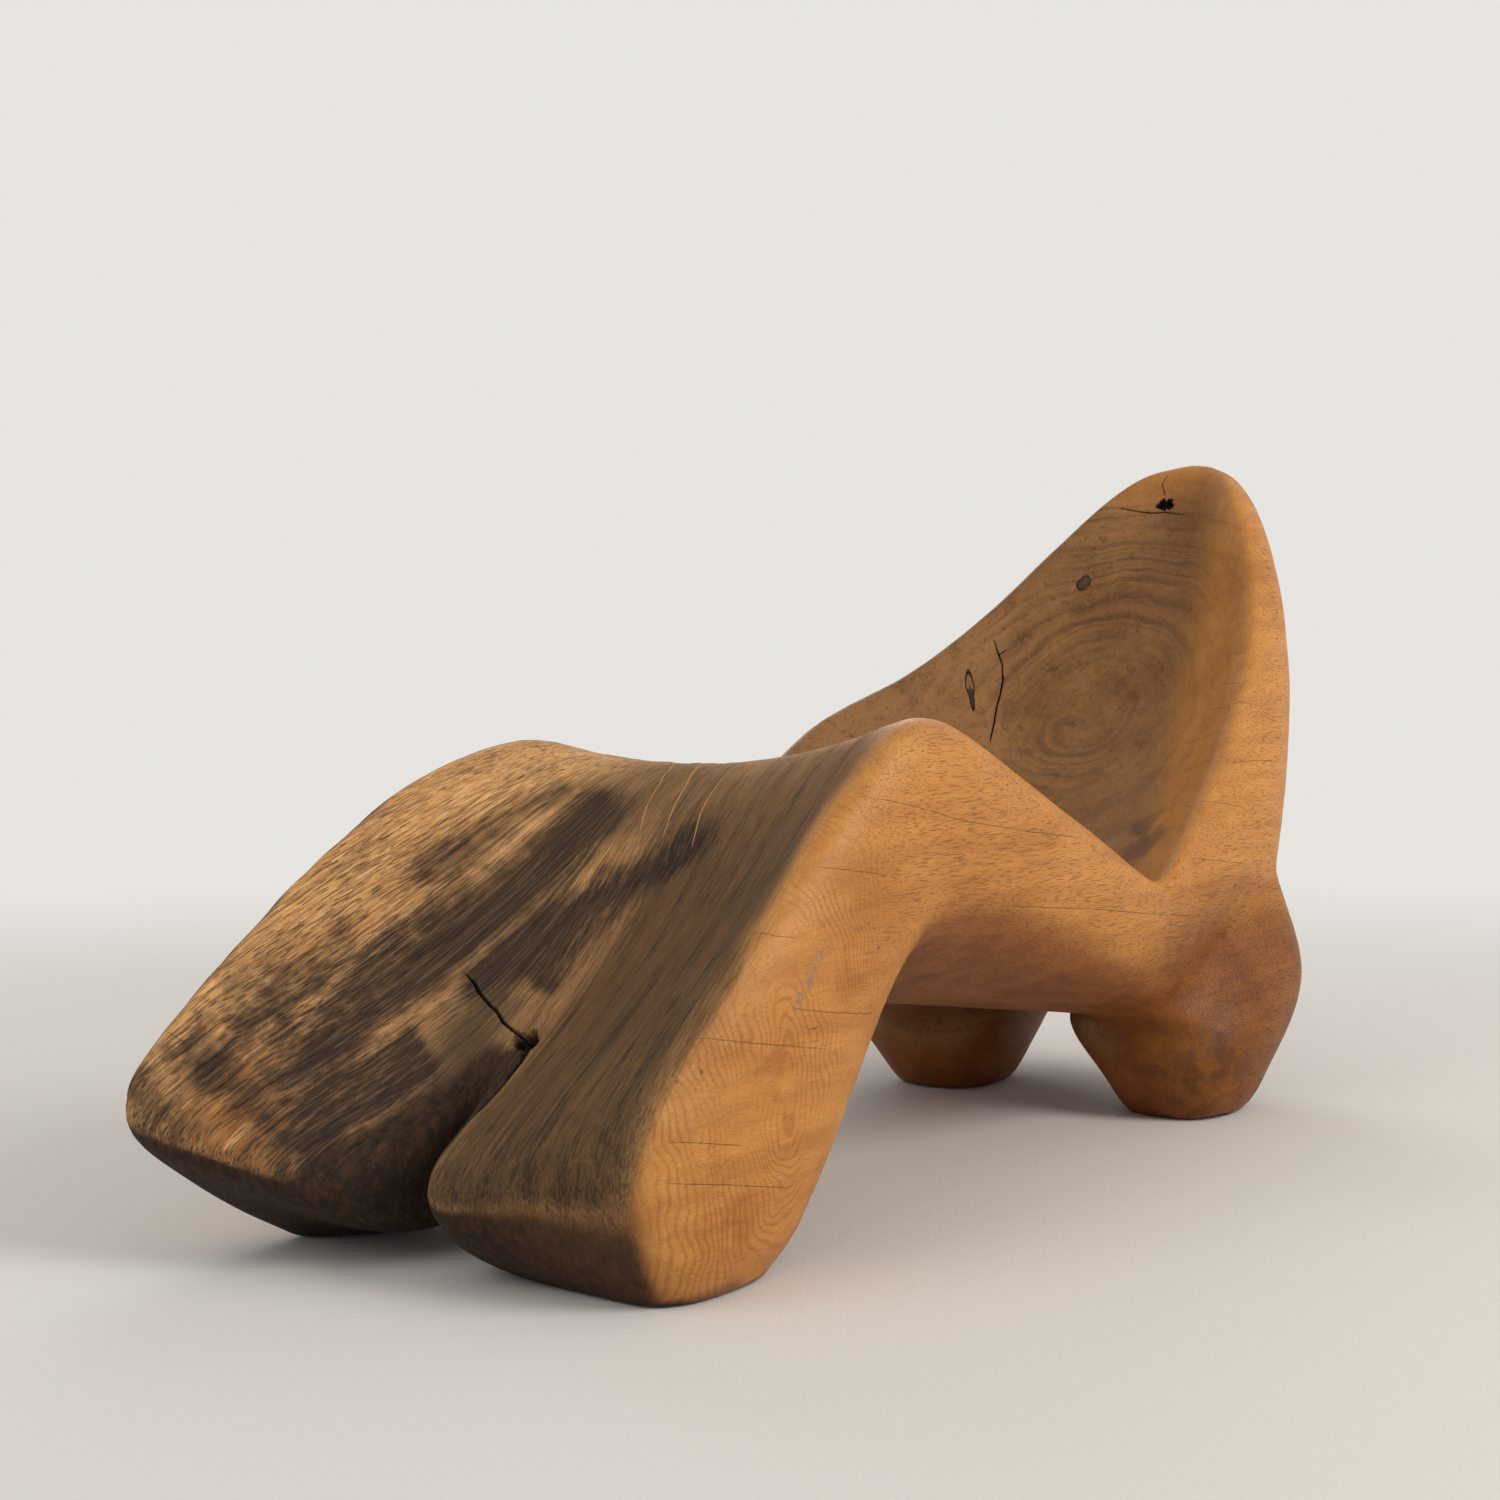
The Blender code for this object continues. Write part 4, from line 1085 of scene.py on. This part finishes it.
def trunk_wood():
    """Oiled wood with pores and rings, weathered and stained on the legrest, grey-brown in the back, with
    painted shade in the creases.
    """
    g = Graph("trunk_wood")
    marks = {name: g.mark(name) for name in Marks.names}
    weather, soot_and_shade = marks["weather"], marks["soot_and_shade"]
    parts = g.node("ShaderNodeSeparateXYZ", 0, {0: g.log}).node.outputs
    axes = (parts["X"], parts["Y"], parts["Z"])
    wood, fibre, pits, blotch = oiled_wood(g, marks, axes)
    old, tufts, dashes = weathered_wood(g, marks, axes, blotch)
    wood = g.mix(weather, wood, old)

    # Soot and painted shade on the feet and in the cleft, as a burnt brown-black broken by blotches
    ragged = g.weighted((soot_and_shade, 1.0), (g.centred(blotch), 0.80), (g.centred(tufts), 0.25))
    crust = g.grain(CRUST_GRAIN, 5.0, 0.7)
    burnt_and_shaded = g.mix(g.ramp(g.weighted((crust, 0.65), (blotch, 0.35)), 0.42, 0.62), CHAR, SCORCH)
    jag = g.times(g.centred(g.noise(260.0, 3.0, 0.7)), 2.4)
    split = g.ramp(g.math("ABSOLUTE", g.math("ADD", marks["split"], jag)), 1.0, 0.55)
    check = g.ramp(g.math("ABSOLUTE", g.math("ADD", marks["check"], jag)), 1.0, 0.35)
    check = g.times(check, g.ramp(g.noise(38.0, 2.0), 0.16, 0.46))
    open_crack = g.math("MAXIMUM", marks["crack"], split)
    # Creases are darkened as painted shade
    wood = g.washed(wood, ((g.ramp(ragged, 0.15, 0.90), 0.92, burnt_and_shaded), (marks["crease"], 0.50, PATINA_DEEP),
                           (check, 0.80, PATINA_DEEP)))
    # Black in the open cracks, the rotted pocket and the rims of the knots and the bark; in the cleft's slit
    # that black is painted shade
    wood = g.mix(open_crack, wood, CHAR)

    dull = g.weighted((g.math("MAXIMUM", weather, soot_and_shade), 0.34), (blotch, 0.16), (marks["ridge"], -0.14),
                      (open_crack, 0.30))
    roughness = g.math("ADD", dull, 0.40, clamp=True)
    raised = g.times(g.weighted((fibre, 1.0), (tufts, 1.2)), g.math("ADD", g.times(weather, 0.85), 0.15))
    height = g.weighted((raised, 1.0), (g.times(crust, soot_and_shade), 1.5), (pits, -0.6), (open_crack, -1.5),
                        (g.times(dashes, weather), -0.8))
    g.shader.inputs["Specular IOR Level"].default_value = WOOD_GLOSS
    return g.shade(wood, roughness, height, WOOD_BUMP)


def inclusion_material(name, pale, dark, ring_count, rough, rim):
    """Dead wood or bark: rings about its own middle, darker at the rim and at its lower end."""
    g = Graph(name)
    grit = g.noise(260.0, 4.0, 0.65)
    lumps = g.noise(70.0, 3.0, 0.6)
    radius = g.mark("radius")
    rings = g.line_noise(g.times(g.weighted((radius, 1.0), (lumps, 0.25)), ring_count), 3.0)
    tone = g.weighted((g.ramp(rings, 0.38, 0.60), 0.7), (grit, 0.45))
    low_end = g.ramp(g.math("ADD", g.mark("low_end"), g.centred(lumps)), -0.25, 0.10)
    colour = g.mix(g.ramp(tone, 0.15, 0.95), pale, dark)
    colour = g.washed(colour, ((low_end, 0.85, CHAR), (g.ramp(radius, 0.86, 1.0), rim, CHAR)))
    g.shader.inputs["Specular IOR Level"].default_value = WOOD_GLOSS
    roughness = g.math("ADD", g.times(grit, 0.2), rough)
    return g.shade(colour, roughness, g.math("ADD", grit, rings), PLUG_BUMP)


def felt_material():
    g = Graph("felt")
    fuzz = g.noise(900.0, 5.0, 0.7)
    tufts = g.noise(160.0, 3.0, 0.6)
    tone = g.weighted((fuzz, 1.0), (tufts, 0.4))
    colour = g.mix(g.ramp(tone, 0.45, 0.95), FELT_DARK, FELT_PALE)
    return g.shade(colour, g.math("ADD", g.times(fuzz, 0.1), 0.86), fuzz, FELT_BUMP)


def link(name, mesh, finish):
    piece = bpy.data.objects.new(name, mesh)
    bpy.context.scene.collection.objects.link(piece)
    mesh.materials.clear()
    mesh.materials.append(finish)
    mesh.shade_smooth()
    return piece


def ringed_top(share, angle):
    """Nearly flat knot: fine growth rings, a soft dome and three drying cracks from the middle."""
    cracks = sum(max(0.0, 1.0 - abs(math.sin((angle - at) / 2)) * 9) for at in (0.5, 2.7, 4.4))
    height = 0.0006 * (1 - share ** 2) + 0.00022 * math.cos(share * 26)
    height -= 0.0012 * cracks * share * (1 - share)
    return height - 0.0009 * max(0.0, share - 0.9) / 0.1, 0.985 * knot_outline(angle)


def rotted_top(share, angle):
    """Crumbled knot: a ragged bowl of soft dark wood."""
    ragged = 0.5 + 0.3 * math.sin(3 * angle + 1.0) * share + 0.2 * math.sin(7 * angle + 5 * share)
    height = -0.006 * (1 - share) + 0.0022 * ragged * math.sin(share * 9 + 1.3)
    return height, 0.96 * min(crown_outline(angle), 1.0)


def bark_top(share, angle):
    """Corky ridge of bark, plated across its length."""
    plates = math.sin(11 * share * math.cos(angle) + 0.8) * math.sin(9 * angle + 2.0)
    return 0.0006 * (1 - share ** 2) + 0.0006 * plates * share, 0.95 * bark_outline(angle)


def seated_plug(name, knot, seat, finish, crown, dark_end):
    """An oval plug in its socket, with tapered sides and a closed foot; crown shapes its top."""
    bm = bmesh.new()
    radius_layer = bm.verts.layers.float.new("radius")
    end_layer = bm.verts.layers.float.new("low_end")
    loops = []
    for k in range(1, PLUG_RINGS + PLUG_WALL + 1):
        share = min(k / PLUG_RINGS, 1.0)
        drop = max(k - PLUG_RINGS, 0) / PLUG_WALL
        taper = 1.0 - PLUG_TAPER * (knot.sink + drop * knot.depth) / (knot.depth + knot.sink)
        loop = []
        for j in range(PLUG_SIDES):
            angle = 2 * math.pi * j / PLUG_SIDES
            height, edge = crown(share, angle)
            reach = share * taper * edge
            vert = bm.verts.new((knot.half_length * reach * math.cos(angle),
                                 knot.half_width * reach * math.sin(angle),
                                 -knot.sink + height * (1.0 - drop) - drop * knot.depth))
            vert[radius_layer] = share
            vert[end_layer] = share * math.cos(angle) if dark_end else -1.0
            loop.append(vert)
        loops.append(loop)
    middle = bm.verts.new((0.0, 0.0, -knot.sink + crown(0.0, 0.0)[0]))
    foot = bm.verts.new((0.0, 0.0, -knot.sink - knot.depth))
    foot[radius_layer] = 1.0
    middle[end_layer] = 0.0 if dark_end else -1.0
    for j in range(PLUG_SIDES):
        n = (j + 1) % PLUG_SIDES
        bm.faces.new((middle, loops[0][j], loops[0][n]))
        bm.faces.new((foot, loops[-1][n], loops[-1][j]))
        for inner, outer in zip(loops, loops[1:]):
            bm.faces.new((inner[j], outer[j], outer[n], inner[n]))
    bm.transform(seat)
    mesh = bpy.data.meshes.new(name)
    bm.to_mesh(mesh)
    bm.free()
    return link(name, mesh, finish)


def build_trunk():
    mesh, lines, seats = trunk_mesh()
    marks = Marks(mesh, lines, seats)
    set_coordinates(mesh, marks.world + marks.normals * marks.relief()[:, None])
    marks.write(mesh)
    trunk = link("trunk_carved_from_one_log", mesh, trunk_wood())
    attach(trunk, "root")
    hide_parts("carved_trunk")
    return seats


def build_inclusions(seats):
    rows = (("knot_in_the_back", "backrest_knot", "dead_knot", DEAD_WOOD, ringed_top, False),
            ("rotted_knot_in_the_crown", "crown_knot", "rotted_knot", ROTTED_WOOD, rotted_top, False),
            ("bark_in_the_wing", "wing_bark_pocket", "bark", BARK, bark_top, True))
    for (name, node, slot, tones, crown, dark_end), (knot, seat) in zip(rows, seats):
        piece = seated_plug(name, knot, seat, inclusion_material(slot, *tones), crown, dark_end)
        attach(piece, "root")
        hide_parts(node)


def dress_pads():
    felt = felt_material()
    for name, node in frame["nodes"].items():
        if name.startswith("floor_pad"):
            node.data.materials.clear()
            node.data.materials.append(felt)


# Camera of the photograph in the log frame, for a square picture
LENS = 49.2
SENSOR = 36.0
CAMERA_SPOT = (-1.4355, -1.4075, 0.55)
CAMERA_AIM = (0.8007, 0.5990, 0.0)
HORIZON_SHIFT = -0.0333

# Pale floor that fades into the background around the object
FLOOR_RADIUS = 14.0
FLOOR_SIDES = 48
FLOOR_MIDDLE = (0.75, 0.0, 0.0)
FLOOR_FADE = (1.4, 4.0)
FLOOR_DARK = (0.690, 0.665, 0.630, 1)
FLOOR_LIGHT = (0.740, 0.715, 0.680, 1)
PALE = (0.800, 0.780, 0.750, 1)

# Soft lamps in the log frame: name, spot, aim, size, power, colour
WARM = (1.0, 0.97, 0.93)
WHITE = (1.0, 1.0, 1.0)
LAMPS = (
    ("key", (1.5, -4.7, 3.2), (0.6, 0.0, 0.4), 3.0, 183.0, WARM),
    ("fill", (-2.6, 1.0, 2.6), (0.4, 0.0, 0.3), 2.4, 28.0, WHITE),
    ("rear", (4.2, 3.6, 3.2), (0.8, 0.0, 0.4), 3.2, 62.0, WHITE),
)
WORLD_STRENGTH = 0.50


def add_camera():
    data = bpy.data.cameras.new("camera")
    data.lens = LENS
    data.sensor_width = SENSOR
    data.shift_y = HORIZON_SHIFT
    camera = bpy.data.objects.new("camera", data)
    camera.location = Vector(CAMERA_SPOT) + Vector(LOG_ORIGIN)
    camera.rotation_euler = Vector(CAMERA_AIM).to_track_quat("-Z", "Y").to_euler()
    bpy.context.scene.collection.objects.link(camera)
    bpy.context.scene.camera = camera


def add_floor():
    bm = bmesh.new()
    bmesh.ops.create_circle(bm, cap_ends=True, segments=FLOOR_SIDES, radius=FLOOR_RADIUS)
    mesh = bpy.data.meshes.new("floor")
    bm.to_mesh(mesh)
    bm.free()
    g = Graph("floor")
    grain = g.noise(220.0, 3.0)
    g.shade(g.mix(grain, FLOOR_DARK, FLOOR_LIGHT), 0.9, grain, FLOOR_BUMP)
    far = g.ramp(g.distance(FLOOR_MIDDLE), *FLOOR_FADE)
    rays = g.node("ShaderNodeLightPath", "Is Camera Ray", {}).node.outputs
    seen = g.math("MAXIMUM", rays["Is Camera Ray"], rays["Is Glossy Ray"])
    seen = g.math("MAXIMUM", seen, rays["Is Transmission Ray"])
    glow = g.node("ShaderNodeEmission", 0, {"Color": PALE, "Strength": 1.0})
    shaders = {0: g.times(far, seen), 1: g.shader.outputs[0], 2: glow}
    faded = g.node("ShaderNodeMixShader", 0, shaders)
    g.put(g.tree.nodes["Material Output"].inputs["Surface"], faded)
    floor = link("floor", mesh, g.material)


def add_lamp(name, spot, aim, size, power, tint):
    data = bpy.data.lights.new(name, "AREA")
    data.shape = "DISK"
    data.size = size
    data.energy = power
    data.color = tint
    lamp = bpy.data.objects.new(name, data)
    lamp.location = Vector(spot) + Vector(LOG_ORIGIN)
    lamp.rotation_euler = (Vector(aim) - Vector(spot)).to_track_quat("-Z", "Y").to_euler()
    bpy.context.scene.collection.objects.link(lamp)


def add_world():
    """A soft light from all around, seen as the pale background by the camera and in reflections."""
    world = bpy.data.worlds.new("studio")
    bpy.context.scene.world = world
    world.use_nodes = True
    nodes, links = world.node_tree.nodes, world.node_tree.links
    path = nodes.new("ShaderNodeLightPath")
    seen = nodes.new("ShaderNodeBackground")
    seen.inputs["Color"].default_value = PALE
    seen.inputs["Strength"].default_value = 1.0
    given = nodes["Background"]
    given.inputs["Color"].default_value = (*WARM, 1)
    given.inputs["Strength"].default_value = WORLD_STRENGTH
    choice = nodes.new("ShaderNodeMixShader")
    shown = path.outputs["Is Camera Ray"]
    for ray in ("Is Glossy Ray", "Is Transmission Ray"):
        either = nodes.new("ShaderNodeMath")
        either.operation = "MAXIMUM"
        links.new(shown, either.inputs[0])
        links.new(path.outputs[ray], either.inputs[1])
        shown = either.outputs[0]
    links.new(shown, choice.inputs[0])
    links.new(given.outputs[0], choice.inputs[1])
    links.new(seen.outputs[0], choice.inputs[2])
    links.new(choice.outputs[0], nodes["World Output"].inputs["Surface"])


build_inclusions(build_trunk())
dress_pads()
add_camera()
add_floor()
add_world()
for lamp_row in LAMPS:
    add_lamp(*lamp_row)

bpy.context.scene.view_settings.view_transform = "Standard"
